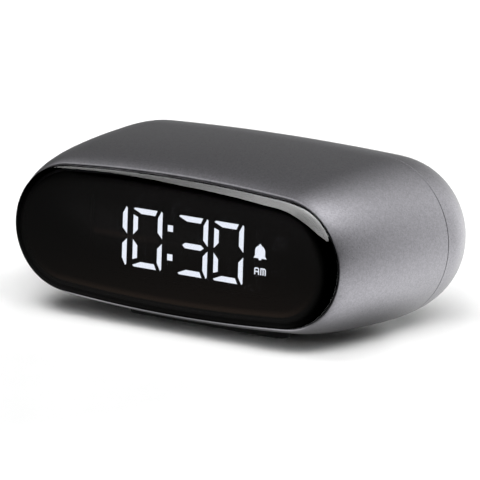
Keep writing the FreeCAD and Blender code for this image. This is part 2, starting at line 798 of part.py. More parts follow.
def rear_cover():
    """The back shell: rounded back edge, lip, screw columns, board posts and panel recess."""
    outside = lofted("cover_outside", case_sections(COVER_FRONT, "body_depth", round_shares, "0"))
    hollow = lofted("cover_hollow", case_sections(COVER_FRONT, BACK_INSIDE, even_shares, "wall"))
    lip_start = f"{SEAM} - lip_depth"
    lip_outside = lofted("lip_outside", case_sections(lip_start, COVER_FRONT, even_shares,
                                                      "wall - lip_thickness + lip_clearance"))
    lip_inside = lofted("lip_inside", case_sections(lip_start, COVER_FRONT, even_shares, "wall"))
    shell = fuse("cover_shell", outside, lip_outside)
    fixtures = [rod(f"cover_column_{index}", x, rise, "column_radius", SEAM, BACK_INSIDE)
                for index, (x, rise) in enumerate(COVER_SCREWS)]
    fixtures += [rod(f"cover_post_{index}", x, rise, "boss_radius", MAIN_BOARD_BACK, BACK_INSIDE)
                 for index, (x, rise) in enumerate(MAIN_SCREWS)]
    walls = cut("cover_walls", shell, hollow, lip_inside)
    blank = fuse("cover_blank", walls, *fixtures)
    openings = [oval_plate("panel_recess", "0", "0", RECESS_FLOOR, "body_depth",
                           *panel_oval("panel_clearance"))]
    openings += control_openings("cover", BACK_INSIDE, "body_depth")
    openings += [rod(f"cover_bore_{index}", x, rise, "cover_screw_radius + cover_hole_clearance",
                     SEAM, RECESS_FLOOR) for index, (x, rise) in enumerate(COVER_SCREWS)]
    openings += [rod(f"head_bore_{index}", x, rise, "cover_head_radius + cover_hole_clearance",
                     COVER_HEAD_SEAT, RECESS_FLOOR) for index, (x, rise) in enumerate(COVER_SCREWS)]
    openings += [rod(f"cover_post_bore_{index}", x, rise, "small_screw_radius", MAIN_BOARD_BACK,
                     f"{MAIN_BOARD_BACK} + main_screw_grip + small_screw_radius")
                 for index, (x, rise) in enumerate(MAIN_SCREWS)]
    node(cut("rear_cover", blank, *openings))


def rear_panel():
    """The dark plate that hides the cover screws, and the tape that holds it."""
    plate = oval_plate("panel_plate", "0", "0", PANEL_FRONT, PANEL_BACK, *panel_oval("0"))
    node(cut("rear_panel", plate, *control_openings("panel", PANEL_FRONT, PANEL_BACK)))
    tape = oval_plate("tape_plate", "0", "0", RECESS_FLOOR, PANEL_FRONT, *panel_oval("0"))
    node(cut("rear_panel_tape", tape, *control_openings("tape", RECESS_FLOOR, PANEL_FRONT)))


# ---------------------------------------------------------------- lens and display
def front_lens():
    """The black lens: a straight edge in its seat, a full shoulder and a flat front."""
    steps = 12
    crowding = 1.8
    body = doc.addObject("PartDesign::Body", "front_lens")
    sections = []
    for step in range(steps + 1):
        near = (step / steps) ** crowding
        far = (1 - step / steps) ** crowding
        angle = 90 * near / (near + far)
        depth = f"-lens_crown * sin({angle:.3f})^lens_fullness"
        turned_in = f"(1 - max(0; cos({angle:.3f}))^lens_fullness)"
        inset = f"lens_lip + lens_clearance + lens_edge * {turned_in}"
        sketch = new_sketch(body, "XZ_Plane", ("0", at_rise("0"), f"-{at_depth(depth)}"))
        draw_oval(sketch, *rim_oval(inset))
        sections.append(sketch)
    dome = body.newObject("PartDesign::AdditiveLoft", "lens_dome")
    dome.Profile = sections[0]
    dome.Sections = sections[1:]
    edge = body.newObject("PartDesign::Pad", "lens_edge_pad")
    edge.Profile = sections[0]
    edge.Reversed = True
    edge.setExpression("Length", bound("lens_inset"))
    body.Tip = edge
    node(body)


def lens_tape():
    """The ring of tape between the lens and its seat."""
    ring = oval_plate("tape_ring", "0", "0", "lens_inset", LENS_SEAT, *rim_oval("lens_lip + lens_clearance"))
    hole = oval_plate("tape_hole", "0", "0", "0", "ledge_depth", *rim_oval("lens_lip + tape_width"))
    node(cut("lens_tape", ring, hole))


def display_frame():
    """The black plate behind the lens: it carries the display and sits on the ledge."""
    plate = oval_plate("frame_plate", "0", "0", FRAME_FRONT, "ledge_depth",
                       *rim_oval("frame_step + frame_clearance"))
    bosses = [rod(f"frame_boss_{index}", x, rise, "boss_radius", MASK_BACK, DISPLAY_BOARD)
              for index, (x, rise) in enumerate(DISPLAY_SCREWS)]
    window = box("frame_window", span(DISPLAY_X, f"2 * {WINDOW_HALF_WIDTH}"), depths("0", DISPLAY_BOARD),
                 over_rise("display_rise", f"2 * {WINDOW_HALF_HEIGHT}"))
    bores = [rod(f"boss_bore_{index}", x, rise, "small_screw_radius", MASK_BACK, DISPLAY_BOARD)
             for index, (x, rise) in enumerate(DISPLAY_SCREWS)]
    bores += [rod(f"frame_bore_{index}", x, rise, "frame_screw_radius",
                  "ledge_depth - frame_screw_bite", "ledge_depth")
              for index, (x, rise) in enumerate(FRAME_SCREWS)]
    node(cut("display_frame", fuse("frame_blank", plate, *bosses), window, *bores))
    node(group("display_frame_screws",
               *[screw(f"frame_screw_{index}", x, rise, LEDGE_BACK, True, "frame_head_radius",
                       "small_head_thickness", "frame_screw_radius",
                       "ledge_thickness + frame_screw_bite")
                 for index, (x, rise) in enumerate(FRAME_SCREWS)]))


def segment_outlines():
    """The seven bars of a figure by letter, as points about the figure's middle."""
    w = value("digit_width") / 2
    top = value("digit_height") / 2
    t = value("digit_stroke")
    gap = value("segment_gap")
    point = value("segment_point")
    bar = value("bar_point")
    drop = value("side_drop")
    right = w - t - gap / 3
    upper = {
        "a": [(-w, top - t / 4), (-w + t / 3, top), (right, top), (right - t / 2, top - t),
              (-w + bar, top - t)],
        "b": [(w - t / 4, top), (w, top - t / 4), (w, gap), (w - t, gap + point), (w - t, top - drop)],
        "f": [(-w, top - drop), (-w, gap), (-w + t, gap + point), (-w + t, top - drop - t / 3)],
    }
    lower = {partner: [(x, -z) for x, z in upper[letter]]
             for letter, partner in (("a", "d"), ("b", "c"), ("f", "e"))}
    half = t / 2
    middle = [(-w + t - gap / 3, 0), (-w + t + half, half), (w - t - half, half),
              (w - t + gap / 3, 0), (w - t - half, -half), (-w + t + half, -half)]
    return {**upper, **lower, "g": middle}


def figure_places():
    """X of the middle of the four figures, two on each side of the colon."""
    near = f"({FIGURE_STEP} - digit_pitch / 2)"
    far = f"({FIGURE_STEP} + digit_pitch / 2)"
    return [value(f"colon_x + {offset}") for offset in (f"-{far}", f"-{near}", near, far)]


def square(side):
    """The corners of a square about its middle."""
    half = side / 2
    return ((-half, -half), (half, -half), (half, half), (-half, half))


def prism(points, front, back):
    """A flat outline of X and rise, drawn out between two depths."""
    corners = [Vector(x, value(at_depth(front)), value(AXIS_HEIGHT) + rise) for x, rise in points]
    face = Part.Face(Part.makePolygon(corners + corners[:1]))
    return face.extrude(Vector(0, value(f"({back}) - ({front})"), 0))


def disc(x, rise, radius, front, back):
    """A disc about X and a rise, between two depths."""
    start = Vector(x, value(at_depth(front)), value(AXIS_HEIGHT) + rise)
    return Part.makeCylinder(radius, value(f"({back}) - ({front})"), start, Vector(0, 1, 0))


LIT = ("bc", "abcdef", "abcdg", "abcdef")


def segments(lit, back):
    """The bars that are lit, or the ones that are not, of all four figures."""
    solids = []
    for middle, shown in zip(figure_places(), LIT):
        for letter, outline in segment_outlines().items():
            if (letter in shown) == lit:
                points = [(middle + x + value("digit_lean") * z, value("display_rise") + z)
                          for x, z in outline]
                solids.append(prism(points, "mask_depth", back))
    return solids


def colon(back):
    """The two square dots between the hours and the minutes."""
    corners = square(value("colon_size"))
    middles = [value(f"display_rise {sign} colon_spacing / 2") for sign in "+-"]
    return [prism([(value("colon_x") + x, middle + z) for x, z in corners], "mask_depth", back)
            for middle in middles]


def bell(back):
    """A plain bell: dome, straight waist, flared foot, knob and clapper."""
    x, foot = value("mark_x"), value("bell_foot_rise")
    half, tall = value("bell_width") / 2, value("bell_height")
    waist = 0.77 * half
    y = value(at_depth("mask_depth"))
    level = value(AXIS_HEIGHT) + foot

    def at(across, up):
        return Vector(x + across, y, level + up)

    flare, shoulder_level = 0.2 * tall, 0.6 * tall
    crown = (0.72 * waist, 0.86 * tall)
    edges = [Part.LineSegment(at(half, 0), at(waist, flare)).toShape(),
             Part.LineSegment(at(waist, flare), at(waist, shoulder_level)).toShape(),
             Part.Arc(at(waist, shoulder_level), at(*crown), at(0, tall)).toShape(),
             Part.Arc(at(0, tall), at(-crown[0], crown[1]), at(-waist, shoulder_level)).toShape(),
             Part.LineSegment(at(-waist, shoulder_level), at(-waist, flare)).toShape(),
             Part.LineSegment(at(-waist, flare), at(-half, 0)).toShape(),
             Part.LineSegment(at(-half, 0), at(half, 0)).toShape()]
    dome = Part.Face(Part.Wire(edges)).extrude(Vector(0, value(f"({back}) - mask_depth"), 0))
    knob = disc(x, foot + tall, value("bell_knob_radius"), "mask_depth", back)
    clapper = disc(x, foot, value("bell_clapper_radius"), "mask_depth", back)
    return dome.fuse([knob, clapper]).removeSplitter()


def letters(back, counter=True):
    """The two letters of the morning mark, with cut upper corners; the counter is the A's eye."""
    tall, s = value("letter_height"), value("letter_stroke")
    gap, foot = value("letter_gap"), value("letter_foot_rise")
    wide = tall - s
    first = value("mark_x") - wide - gap / 2
    second = value("mark_x") + gap / 2
    bar, corner = value("letter_bar_rise"), value("letter_corner")
    hood = [(0, 0), (0, tall - s), (s, tall), (wide - s, tall), (wide, tall - s), (wide, 0)]
    a_outline = hood + [(wide - s, 0), (wide - s, bar), (s, bar), (s, 0)]
    a_hole = [(s, bar + s), (s, tall - s - corner), (s + corner, tall - s),
              (wide - s - corner, tall - s), (wide - s, tall - s - corner), (wide - s, bar + s)]
    broad = wide + s / 2
    m_hood = [(0, 0), (0, tall), (broad - s, tall), (broad, tall - s), (broad, 0)]
    legs = [(broad - s, 0), (broad - s, tall - s), (broad / 2 + s / 2, tall - s), (broad / 2 + s / 2, 0),
            (broad / 2 - s / 2, 0), (broad / 2 - s / 2, tall - s), (s, tall - s), (s, 0)]

    def letter(points, start):
        return prism([(start + x, foot + z) for x, z in points], "mask_depth", back)

    left = letter(a_outline, first)
    return [left.cut(letter(a_hole, first)) if counter else left, letter(m_hood + legs, second)]


def chamber(name, low_rise, high_rise):
    """The open chamber behind one mark, from its light guide to the board."""
    return box(name, span("mark_x", "bell_width"), depths(GUIDE_BACK, DISPLAY_BOARD),
               (at_rise(low_rise), at_rise(high_rise)))


def light_chip(x, rise):
    """One light chip on the display board."""
    return prism([(x + across, rise + up) for across, up in square(value("light_size"))],
                 f"{DISPLAY_BOARD} - light_thickness", DISPLAY_BOARD)


def display():
    """Mask, reflector block, light guides, lights and board, from front to back."""
    def plate(name, front, back, figures, *openings):
        blank = box(f"{name}_blank", span(DISPLAY_X, f"2 * ({WINDOW_HALF_WIDTH} - window_clearance)"),
                    depths(front, back),
                    over_rise("display_rise", f"2 * ({WINDOW_HALF_HEIGHT} - window_clearance)"))
        cutter = shape_piece(f"{name}_figures", Part.makeCompound(figures))
        node(cut(name, blank, cutter, *openings))

    bars = segments(True, DISPLAY_BOARD) + segments(False, DISPLAY_BOARD) + colon(DISPLAY_BOARD)
    marks = ("bell_foot_rise - mark_margin", "bell_foot_rise + bell_height + mark_margin",
             "letter_foot_rise - mark_margin", "letter_foot_rise + letter_height + mark_margin")
    plate("display_mask", "mask_depth", MASK_BACK, bars + [bell(GUIDE_BACK)] + letters(GUIDE_BACK))
    plate("reflector_block", MASK_BACK, DISPLAY_BOARD,
          bars + [bell(GUIDE_BACK)] + letters(GUIDE_BACK, False),
          chamber("bell_chamber", *marks[:2]), chamber("letter_chamber", *marks[2:]))
    for name, solids in (("lit_segments", segments(True, GUIDE_BACK)),
                         ("unlit_segments", segments(False, GUIDE_BACK)),
                         ("colon_dots", colon(GUIDE_BACK)), ("bell_mark", [bell(GUIDE_BACK)]),
                         ("morning_mark", letters(GUIDE_BACK))):
        node(shape_piece(name, Part.makeCompound(solids)))
    chips = [light_chip(bar.CenterOfMass.x, bar.CenterOfMass.z - value(AXIS_HEIGHT)) for bar in bars]
    chips += [light_chip(value("mark_x"), value(f"(({low}) + ({high})) / 2"))
              for low, high in (marks[:2], marks[2:])]
    node(shape_piece("display_lights", Part.makeCompound(chips)))
    board = box("display_board_blank", (f"-{BOARD_REACH}", BOARD_REACH),
                depths(DISPLAY_BOARD, DISPLAY_BOARD_BACK),
                over_rise("display_rise", f"2 * {DISPLAY_BOARD_HALF_HEIGHT}"))
    node(cut("display_board", board,
             *[rod(f"display_board_hole_{index}", x, rise, "small_screw_radius + small_hole_clearance",
                   DISPLAY_BOARD, DISPLAY_BOARD_BACK) for index, (x, rise) in enumerate(DISPLAY_SCREWS)]))
    node(group("display_board_screws",
               *[screw(f"display_screw_{index}", x, rise, DISPLAY_BOARD_BACK, True, "small_head_radius",
                       "small_head_thickness", "small_screw_radius", "2 * board_thickness")
                 for index, (x, rise) in enumerate(DISPLAY_SCREWS)]))
    node(box("display_driver", span("driver_x", "driver_width"),
             depths(DISPLAY_BOARD_BACK, f"{DISPLAY_BOARD_BACK} + chip_thickness"),
             over_rise("display_rise", "driver_height")))


# ---------------------------------------------------------------- controls
def buttons():
    """Each push button with its flange behind the wall, and the plunger that it pushes."""
    flange_back = f"({BACK_INSIDE} - button_rest_gap)"
    flange_front = f"({flange_back} - button_flange)"
    stem_front = f"({MAIN_BOARD_BACK} + tact_height + button_travel + button_clearance + button_rest_gap)"
    cap_back = f"({PANEL_BACK} + button_proud)"
    plunger_front = f"({stem_front} - plunger_length)"
    profile = [("0", "0"), ("button_stem_radius", "0"),
               ("button_stem_radius", f"{flange_front} - {stem_front}"),
               ("button_flange_radius", f"{flange_front} - {stem_front}"),
               ("button_flange_radius", f"{flange_back} - {stem_front}"),
               ("button_radius", f"{flange_back} - {stem_front}"),
               ("button_radius", f"{cap_back} - {stem_front} - button_edge"),
               ("button_radius - button_edge", f"{cap_back} - {stem_front}"),
               ("0", f"{cap_back} - {stem_front}")]
    switches = []
    for name, x in button_places():
        node(turned_back(name, x, "0", stem_front, profile))
        node(rod(name.replace("button", "plunger"), x, "0", "plunger_radius", plunger_front, stem_front))
        body = box(f"{name}_switch_blank", span(x, "tact_size"),
                   depths(MAIN_BOARD_BACK, f"{MAIN_BOARD_BACK} + tact_height"), over_rise("0", "tact_size"))
        bore = rod(f"{name}_switch_bore", x, "0", "plunger_radius + plunger_clearance",
                   f"{plunger_front} - button_travel - plunger_clearance",
                   f"{MAIN_BOARD_BACK} + tact_height")
        switches.append(cut(f"{name}_switch", body, bore))
    node(group("push_switches", *switches))


def alarm_slider():
    """The slider for alarm on or off at its left stop, its lever and the switch it moves."""
    rest_x = "(slider_x - slider_travel / 2)"
    flange_back = f"({BACK_INSIDE} - button_rest_gap)"
    flange_front = f"({flange_back} - button_flange)"
    cap_back = f"({PANEL_BACK} + button_proud)"
    cap = box("slider_cap", span(rest_x, "slider_length"), depths(flange_front, cap_back),
              over_rise("0", "slider_height"))
    flange = box("slider_flange", span(rest_x, "slider_length + 2 * slider_flange_margin"),
                 depths(flange_front, flange_back),
                 over_rise("0", "slider_height + 2 * slider_flange_margin"))
    grooves = [box(f"slider_groove_{index}", span(f"{rest_x} + {index - 1} * 2 * slider_rib_width",
                                                  "slider_rib_width"),
                   depths(f"{cap_back} - slider_rib_depth", cap_back), over_rise("0", "slider_height"))
               for index in range(3)]
    node(cut("alarm_slider", fuse("slider_blank", cap, flange), *grooves))
    lever_front = f"({flange_front} - lever_reach)"
    node(box("slider_lever", span(rest_x, "lever_size"), depths(lever_front, flange_front),
             over_rise("0", "lever_size")))
    switch_back = f"({flange_front} - slide_switch_gap)"
    body = box("slide_switch_blank", span("slider_x", "slide_switch_length"),
               depths(MAIN_BOARD_BACK, switch_back), over_rise("0", "slide_switch_width"))
    slot = box("slide_switch_slot", span("slider_x", "lever_size + slider_travel + 2 * lever_clearance"),
               depths(f"{lever_front} - lever_clearance", switch_back),
               over_rise("0", "lever_size + 2 * lever_clearance"))
    node(cut("slide_switch", body, slot))


def charging_socket():
    """The metal shell of the charging socket and the tongue inside it."""
    back = f"({PANEL_BACK} - socket_sink)"
    floor = f"({MAIN_BOARD_BACK} + socket_floor)"
    shell = oval_plate("socket_blank", "socket_x", "0", MAIN_BOARD_BACK, back, "socket_half_width",
                       "socket_half_height", "socket_roundness * socket_half_height")
    room = oval_plate("socket_room", "socket_x", "0", floor, back, "socket_half_width - socket_metal",
                      "socket_half_height - socket_metal",
                      "socket_roundness * (socket_half_height - socket_metal)")
    node(cut("charging_socket", shell, room))
    node(box("socket_tongue", span("socket_x", "tongue_width"),
             depths(floor, f"{back} - tongue_sink"), over_rise("0", "tongue_thickness")))


# ---------------------------------------------------------------- main board
def main_board():
    """The board behind the back wall, its screws and its parts on the inner side."""
    board = box("main_board_blank", (f"-{BOARD_REACH}", BOARD_REACH),
                depths(MAIN_BOARD, MAIN_BOARD_BACK), over_rise("0", "2 * main_board_half_height"))
    node(cut("main_board", board,
             *[rod(f"main_board_hole_{index}", x, rise, "small_screw_radius + small_hole_clearance",
                   MAIN_BOARD, MAIN_BOARD_BACK) for index, (x, rise) in enumerate(MAIN_SCREWS)]))
    node(group("main_board_screws",
               *[screw(f"main_screw_{index}", x, rise, MAIN_BOARD, False, "small_head_radius",
                       "small_head_thickness", "small_screw_radius", "board_thickness + main_screw_grip")
                 for index, (x, rise) in enumerate(MAIN_SCREWS)]))
    node(group("rear_cover_screws",
               *[screw(f"cover_screw_{index}", x, rise, COVER_HEAD_SEAT, True, "cover_head_radius",
                       "cover_head_thickness", "cover_screw_radius", "cover_screw_length")
                 for index, (x, rise) in enumerate(COVER_SCREWS)]))
    node(box("microcontroller", span("chip_x", "chip_size"),
             depths(f"{MAIN_BOARD} - chip_thickness", MAIN_BOARD), over_rise("chip_rise", "chip_size")))
    node(post("clock_crystal", "crystal_x", f"{MAIN_BOARD} - crystal_radius", "crystal_radius",
              at_rise("chip_rise - crystal_length / 2"), at_rise("chip_rise + crystal_length / 2")))
    node(group("chip_capacitors",
               *[box(f"capacitor_{index}",
                     span(f"capacitor_first_x + {index} * capacitor_pitch", "capacitor_length"),
                     depths(f"{MAIN_BOARD} - capacitor_width", MAIN_BOARD),
                     over_rise("capacitor_rise", "capacitor_width")) for index in range(6)]))
    node(box("lead_socket", span("lead_socket_x", "lead_socket_width"),
             depths(f"{MAIN_BOARD} - lead_socket_length", MAIN_BOARD),
             over_rise("lead_socket_rise", "lead_socket_height")))


def ribbon():
    """The flat cable between the boards, which hangs in a shallow arc, and its two sockets."""
    front = f"({DISPLAY_BOARD_BACK} + ribbon_socket_thickness)"
    back = f"({MAIN_BOARD} - ribbon_socket_thickness)"
    node(group("ribbon_sockets",
               *[box(f"ribbon_socket_{index}", span("ribbon_x", "ribbon_socket_width"), depths(*ends),
                     over_rise(RIBBON_RISE, "ribbon_socket_height"))
                 for index, ends in enumerate(((DISPLAY_BOARD_BACK, front), (back, MAIN_BOARD)))]))
    half = value(f"(({back}) - ({front})) / 2")
    sag, thick = value("ribbon_sag"), value("ribbon_thickness")
    middle = value(at_depth(f"({front} + {back}) / 2"))
    x, top = value("ribbon_x - ribbon_width / 2"), value(at_rise(RIBBON_RISE))

    def at(along, up):
        return Vector(x, middle + along, top + up)

    edges = [Part.Arc(at(-half, 0), at(0, -sag), at(half, 0)).toShape(),
             Part.LineSegment(at(half, 0), at(half, thick)).toShape(),
             Part.Arc(at(half, thick), at(0, thick - sag), at(-half, thick)).toShape(),
             Part.LineSegment(at(-half, thick), at(-half, 0)).toShape()]
    strip = Part.Face(Part.Wire(edges)).extrude(Vector(value("ribbon_width"), 0, 0))
    node(shape_piece("ribbon_cable", strip))


# ---------------------------------------------------------------- battery
def battery():
    """The pouch cell on its tray over the loudspeaker."""
    tray = box("tray_plate", span("0", f"2 * {TRAY_HALF_WIDTH}"), depths("tray_front", TRAY_BACK),
               (TRAY_LOW, TRAY_TOP))
    node(cut("battery_tray", tray,
             *[post(f"tray_hole_{index}", x, depth, "small_screw_radius + small_hole_clearance",
                    TRAY_LOW, TRAY_TOP)
               for index, (x, depth) in enumerate(TRAY_POSTS)]))
    screws = []
    head_top = f"{TRAY_TOP} + small_head_thickness"
    reach = "2 * small_head_radius * slot_share"
    for index, (x, depth) in enumerate(TRAY_POSTS):
        head = post(f"tray_head_{index}", x, depth, "small_head_radius", TRAY_TOP, head_top)
        shaft = post(f"tray_shaft_{index}", x, depth, "small_screw_radius",
                     f"{TRAY_LOW} - tray_screw_length + small_hole_clearance", TRAY_TOP)
        slots = [box(f"tray_slot_{index}_{number}", span(x, wide), span(at_depth(depth), deep),
                     (f"{TRAY_TOP} + small_head_thickness * (1 - slot_share)", head_top))
                 for number, (wide, deep) in enumerate(((reach, "slot_width"), ("slot_width", reach)))]
        screws.append(cut(f"tray_screw_{index}", fuse(f"tray_screw_blank_{index}", head, shaft), *slots))
    node(group("battery_tray_screws", *screws))
    node(box("battery_tape_pad", span("0", f"2 * ({BATTERY_HALF_WIDTH} - battery_edge)"),
             depths(f"{BATTERY_FRONT} + battery_edge", f"{BATTERY_BACK} - battery_edge"),
             (TRAY_TOP, BATTERY_LOW)))
    cell = doc.addObject("Part::Fillet", "battery_cell")
    cell.Base = box("battery_blank", span("0", f"2 * {BATTERY_HALF_WIDTH}"),
                    depths(BATTERY_FRONT, BATTERY_BACK),
                    (BATTERY_LOW, f"{BATTERY_LOW} + battery_thickness"))
    doc.recompute()
    long_edges = [index for index, edge in enumerate(cell.Base.Shape.Edges, start=1)
                  if abs(edge.tangentAt(edge.FirstParameter).y) > 0.9]
    radius = value("battery_edge")
    cell.Edges = [(index, radius, radius) for index in long_edges]
    node(cell)


# ---------------------------------------------------------------- loudspeaker
def speaker():
    """Gasket, basket, cone and magnet, on the ring that stands on the floor."""
    flange_low = f"({SPEAKER_SEAT} + speaker_gasket)"
    node(cut("speaker_gasket_ring",
             post("gasket_blank", "0", SPEAKER_DEPTH, "speaker_radius", SPEAKER_SEAT, flange_low),
             post("gasket_hole", "0", SPEAKER_DEPTH, "speaker_radius - speaker_seat_width",
                  SPEAKER_SEAT, flange_low)))
    inner = "(speaker_basket_radius - speaker_metal)"
    node(turned_up("speaker_basket", "0", SPEAKER_DEPTH, flange_low,
                   [(inner, "0"), ("speaker_radius", "0"), ("speaker_radius", "speaker_flange"),
                    ("speaker_basket_radius", "speaker_flange"), ("speaker_basket_radius", "speaker_height"),
                    ("cone_cap_radius", "speaker_height"),
                    ("cone_cap_radius", "speaker_height - speaker_metal"),
                    (inner, "speaker_height - speaker_metal")]))
    edge = f"({inner} - cone_thickness / 2)"
    node(turned_up("speaker_cone", "0", SPEAKER_DEPTH, f"{flange_low} + cone_thickness",
                   [(f"{edge} - cone_thickness", "0"), (edge, "0"), (edge, "cone_thickness"),
                    ("cone_cap_radius", "cone_rise"), ("0", "cone_rise"), ("0", "cone_rise - cone_thickness"),
                    ("cone_cap_radius - cone_thickness", "cone_rise - cone_thickness")]))
    node(post("speaker_magnet", "0", SPEAKER_DEPTH, "magnet_radius", SPEAKER_TOP,
              f"{SPEAKER_TOP} + magnet_thickness"))


# ---------------------------------------------------------------- touch pad and inner leads
def touch_pad():
    """The foil under the crown that feels a tap for snooze and light."""
    patch = oval_slab("touch_patch", "touch_depth", at_rise("0"), at_rise("body_half_height"),
                      "touch_half_length", "touch_half_width", "foot_roundness * touch_half_width")
    above = lofted("touch_above", case_sections(LEDGE_BACK, SEAM, even_shares, "wall"))
    below = lofted("touch_below", case_sections(LEDGE_BACK, SEAM, even_shares, "wall + touch_foil"))
    node(cut("touch_foil", common("touch_layer", patch, above), below))


def lead(points):
    """A round lead along straight runs joined by tangent arcs; points are X, depth and height."""
    route = [Vector(value(x), value(at_depth(depth)), value(high)) for x, depth, high in points]
    radius = value("lead_radius")
    edges = []
    start = route[0]
    for before, corner, after in zip(route, route[1:], route[2:]):
        back, ahead = before - corner, after - corner
        turn = math.pi - back.getAngle(ahead)
        trim = 0.45 * min(back.Length, ahead.Length)
        bend = trim / math.tan(turn / 2)
        entry = corner + back.normalize() * trim
        leave = corner + ahead.normalize() * trim
        towards = (back + ahead).normalize()
        middle = corner + towards * (bend / math.cos(turn / 2) - bend)
        edges.append(Part.LineSegment(start, entry).toShape())
        edges.append(Part.Arc(entry, middle, leave).toShape())
        start = leave
    edges.append(Part.LineSegment(start, route[-1]).toShape())
    path = Part.Wire(edges)
    ring = Part.Wire([Part.Circle(route[0], route[1] - route[0], radius).toShape()])
    return path.makePipeShell([ring], True, False)


def leads():
    """The leads of the touch foil, the battery and the loudspeaker."""
    lead_depth = "(touch_depth + touch_half_width - touch_lead_edge)"
    foil = at_rise(f"{half_height(lead_depth)} - wall - touch_foil")
    drop = f"({foil} - touch_lead_drop)"
    landing = at_rise("touch_lead_rise")
    node(shape_piece("touch_lead", lead([
        ("0", lead_depth, foil), ("0", lead_depth, drop),
        ("0", f"{MAIN_BOARD} - 2 * lead_bend_run", f"{landing} + lead_bend_run"),
        ("0", f"{MAIN_BOARD} - lead_bend_run", landing), ("0", MAIN_BOARD, landing)])))
    cell_height = f"({BATTERY_LOW} + battery_thickness / 2)"
    plug = f"({MAIN_BOARD} - lead_socket_length)"
    gap = f"({plug} - {BATTERY_BACK})"
    socket_height = at_rise("lead_socket_rise")
    pair = ("- lead_spacing / 2", "+ lead_spacing / 2")
    node(shape_piece("battery_leads", Part.makeCompound([lead([
        (f"lead_socket_x {side}", BATTERY_BACK, cell_height),
        (f"lead_socket_x {side}", f"{BATTERY_BACK} + {gap} / 3", cell_height),
        (f"lead_socket_x {side}", f"{BATTERY_BACK} + 2 * {gap} / 3", socket_height),
        (f"lead_socket_x {side}", plug, socket_height)]) for side in pair])))
    side_height = f"({SPEAKER_SEAT} + speaker_gasket + speaker_flange + lead_radius)"
    board_height = at_rise("speaker_lead_edge - main_board_half_height")
    start = f"({SPEAKER_DEPTH} + sqrt(speaker_basket_radius^2 - (abs(speaker_lead_x) - lead_spacing)^2))"
    node(shape_piece("speaker_leads", Part.makeCompound([lead([
        (f"speaker_lead_x {side}", start, side_height),
        (f"speaker_lead_x {side}", f"{MAIN_BOARD} - 2 * lead_bend_run", side_height),
        (f"speaker_lead_x {side}", f"{MAIN_BOARD} - lead_bend_run", board_height),
        (f"speaker_lead_x {side}", MAIN_BOARD, board_height)]) for side in pair])))


# ---------------------------------------------------------------- the whole clock
main_housing()
rear_cover()
rear_panel()
feet()
front_lens()
lens_tape()
display_frame()
display()
buttons()
alarm_slider()
charging_socket()
main_board()
ribbon()
battery()
speaker()
touch_pad()
leads()
doc.recompute()

failed = [item.Name for item in doc.Objects if {"Invalid", "Error"} & set(item.State)]
failed += [item.Name for item in nodes if item.Shape.isNull() or not item.Shape.isValid()
           or not item.Shape.Solids]
if failed:
    raise SystemExit(f"not built: {failed}")

os.makedirs("parts", exist_ok=True)
for item in nodes:
    item.Shape.exportStep(f"parts/{item.Label}.step")
    box_of = item.Shape.BoundBox
    print(f"{item.Label}: {len(item.Shape.Solids)} solids, {item.Shape.Volume:.1f} mm3, "
          f"y {box_of.YMin:.2f} to {box_of.YMax:.2f}, z {box_of.ZMin:.2f} to {box_of.ZMax:.2f}")
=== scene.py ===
import json
import math

import bmesh
import bpy
from mathutils import Matrix, Vector

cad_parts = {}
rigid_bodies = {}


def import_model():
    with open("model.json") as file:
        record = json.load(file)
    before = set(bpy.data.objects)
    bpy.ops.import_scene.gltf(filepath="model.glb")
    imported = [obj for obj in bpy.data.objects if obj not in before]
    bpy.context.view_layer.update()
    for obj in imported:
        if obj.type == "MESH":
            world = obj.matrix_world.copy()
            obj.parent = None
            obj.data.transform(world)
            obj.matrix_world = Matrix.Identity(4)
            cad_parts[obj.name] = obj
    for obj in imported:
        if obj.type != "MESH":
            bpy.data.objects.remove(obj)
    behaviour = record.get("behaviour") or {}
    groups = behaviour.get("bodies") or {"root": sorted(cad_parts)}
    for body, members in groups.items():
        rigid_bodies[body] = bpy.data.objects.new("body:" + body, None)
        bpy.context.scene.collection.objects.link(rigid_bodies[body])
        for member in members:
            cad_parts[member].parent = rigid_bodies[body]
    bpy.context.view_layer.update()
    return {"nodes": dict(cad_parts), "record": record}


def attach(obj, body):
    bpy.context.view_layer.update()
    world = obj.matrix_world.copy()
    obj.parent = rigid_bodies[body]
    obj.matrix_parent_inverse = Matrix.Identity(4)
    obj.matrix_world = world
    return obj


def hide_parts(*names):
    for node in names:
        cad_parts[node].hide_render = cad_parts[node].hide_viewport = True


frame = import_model()
NODES = frame["nodes"]

# Metres in the scene; the sizes below are in millimetres.  A depth runs backwards from the
# front rim, a rise upwards from the long axis of the case.
MM = 0.001
RIM_Y = -23.6
AXIS_Z = 20.15

# The case is four-arc ovals along the depth: its widest section, its front rim, and the radius
# of its ends as a share of the half height, at the rim and what that gains up to the back.
HALF_WIDTH = 47.5
HALF_HEIGHT = 19.58
BODY_DEPTH = 49.8
RIM_HALF_WIDTH = 42.8
RIM_HALF_HEIGHT = 15.7
END_SHARE = 0.927
END_GAIN_FRONT = 0.019
END_GAIN_BACK = 0.024
# The front shoulder is part of an ellipse, seen from above (side) and from the side (crown): how
# much it swells, how far back it reaches, and the angle that it covers.
SIDE_SWELL = (4.7, 35.2, 74.2)
CROWN_SWELL = (3.88, 38.4, 87.4)
# The back edge is a quarter ellipse: how far it runs and how far it turns in.
SIDE_ROUND = (11.2, 5.8)
CROWN_ROUND = (17.8, 6.78)

# The shells: the seam, and the rebate of the front shell that the tongue of the back shell fits.
WALL = 2.0
SEAM = 36.6
SEAM_GAP = 0.16
REBATE_INSET = 1.1
REBATE_DEPTH = 1.9
TONGUE_INSET = 1.18
TONGUE_DEPTH = 1.6
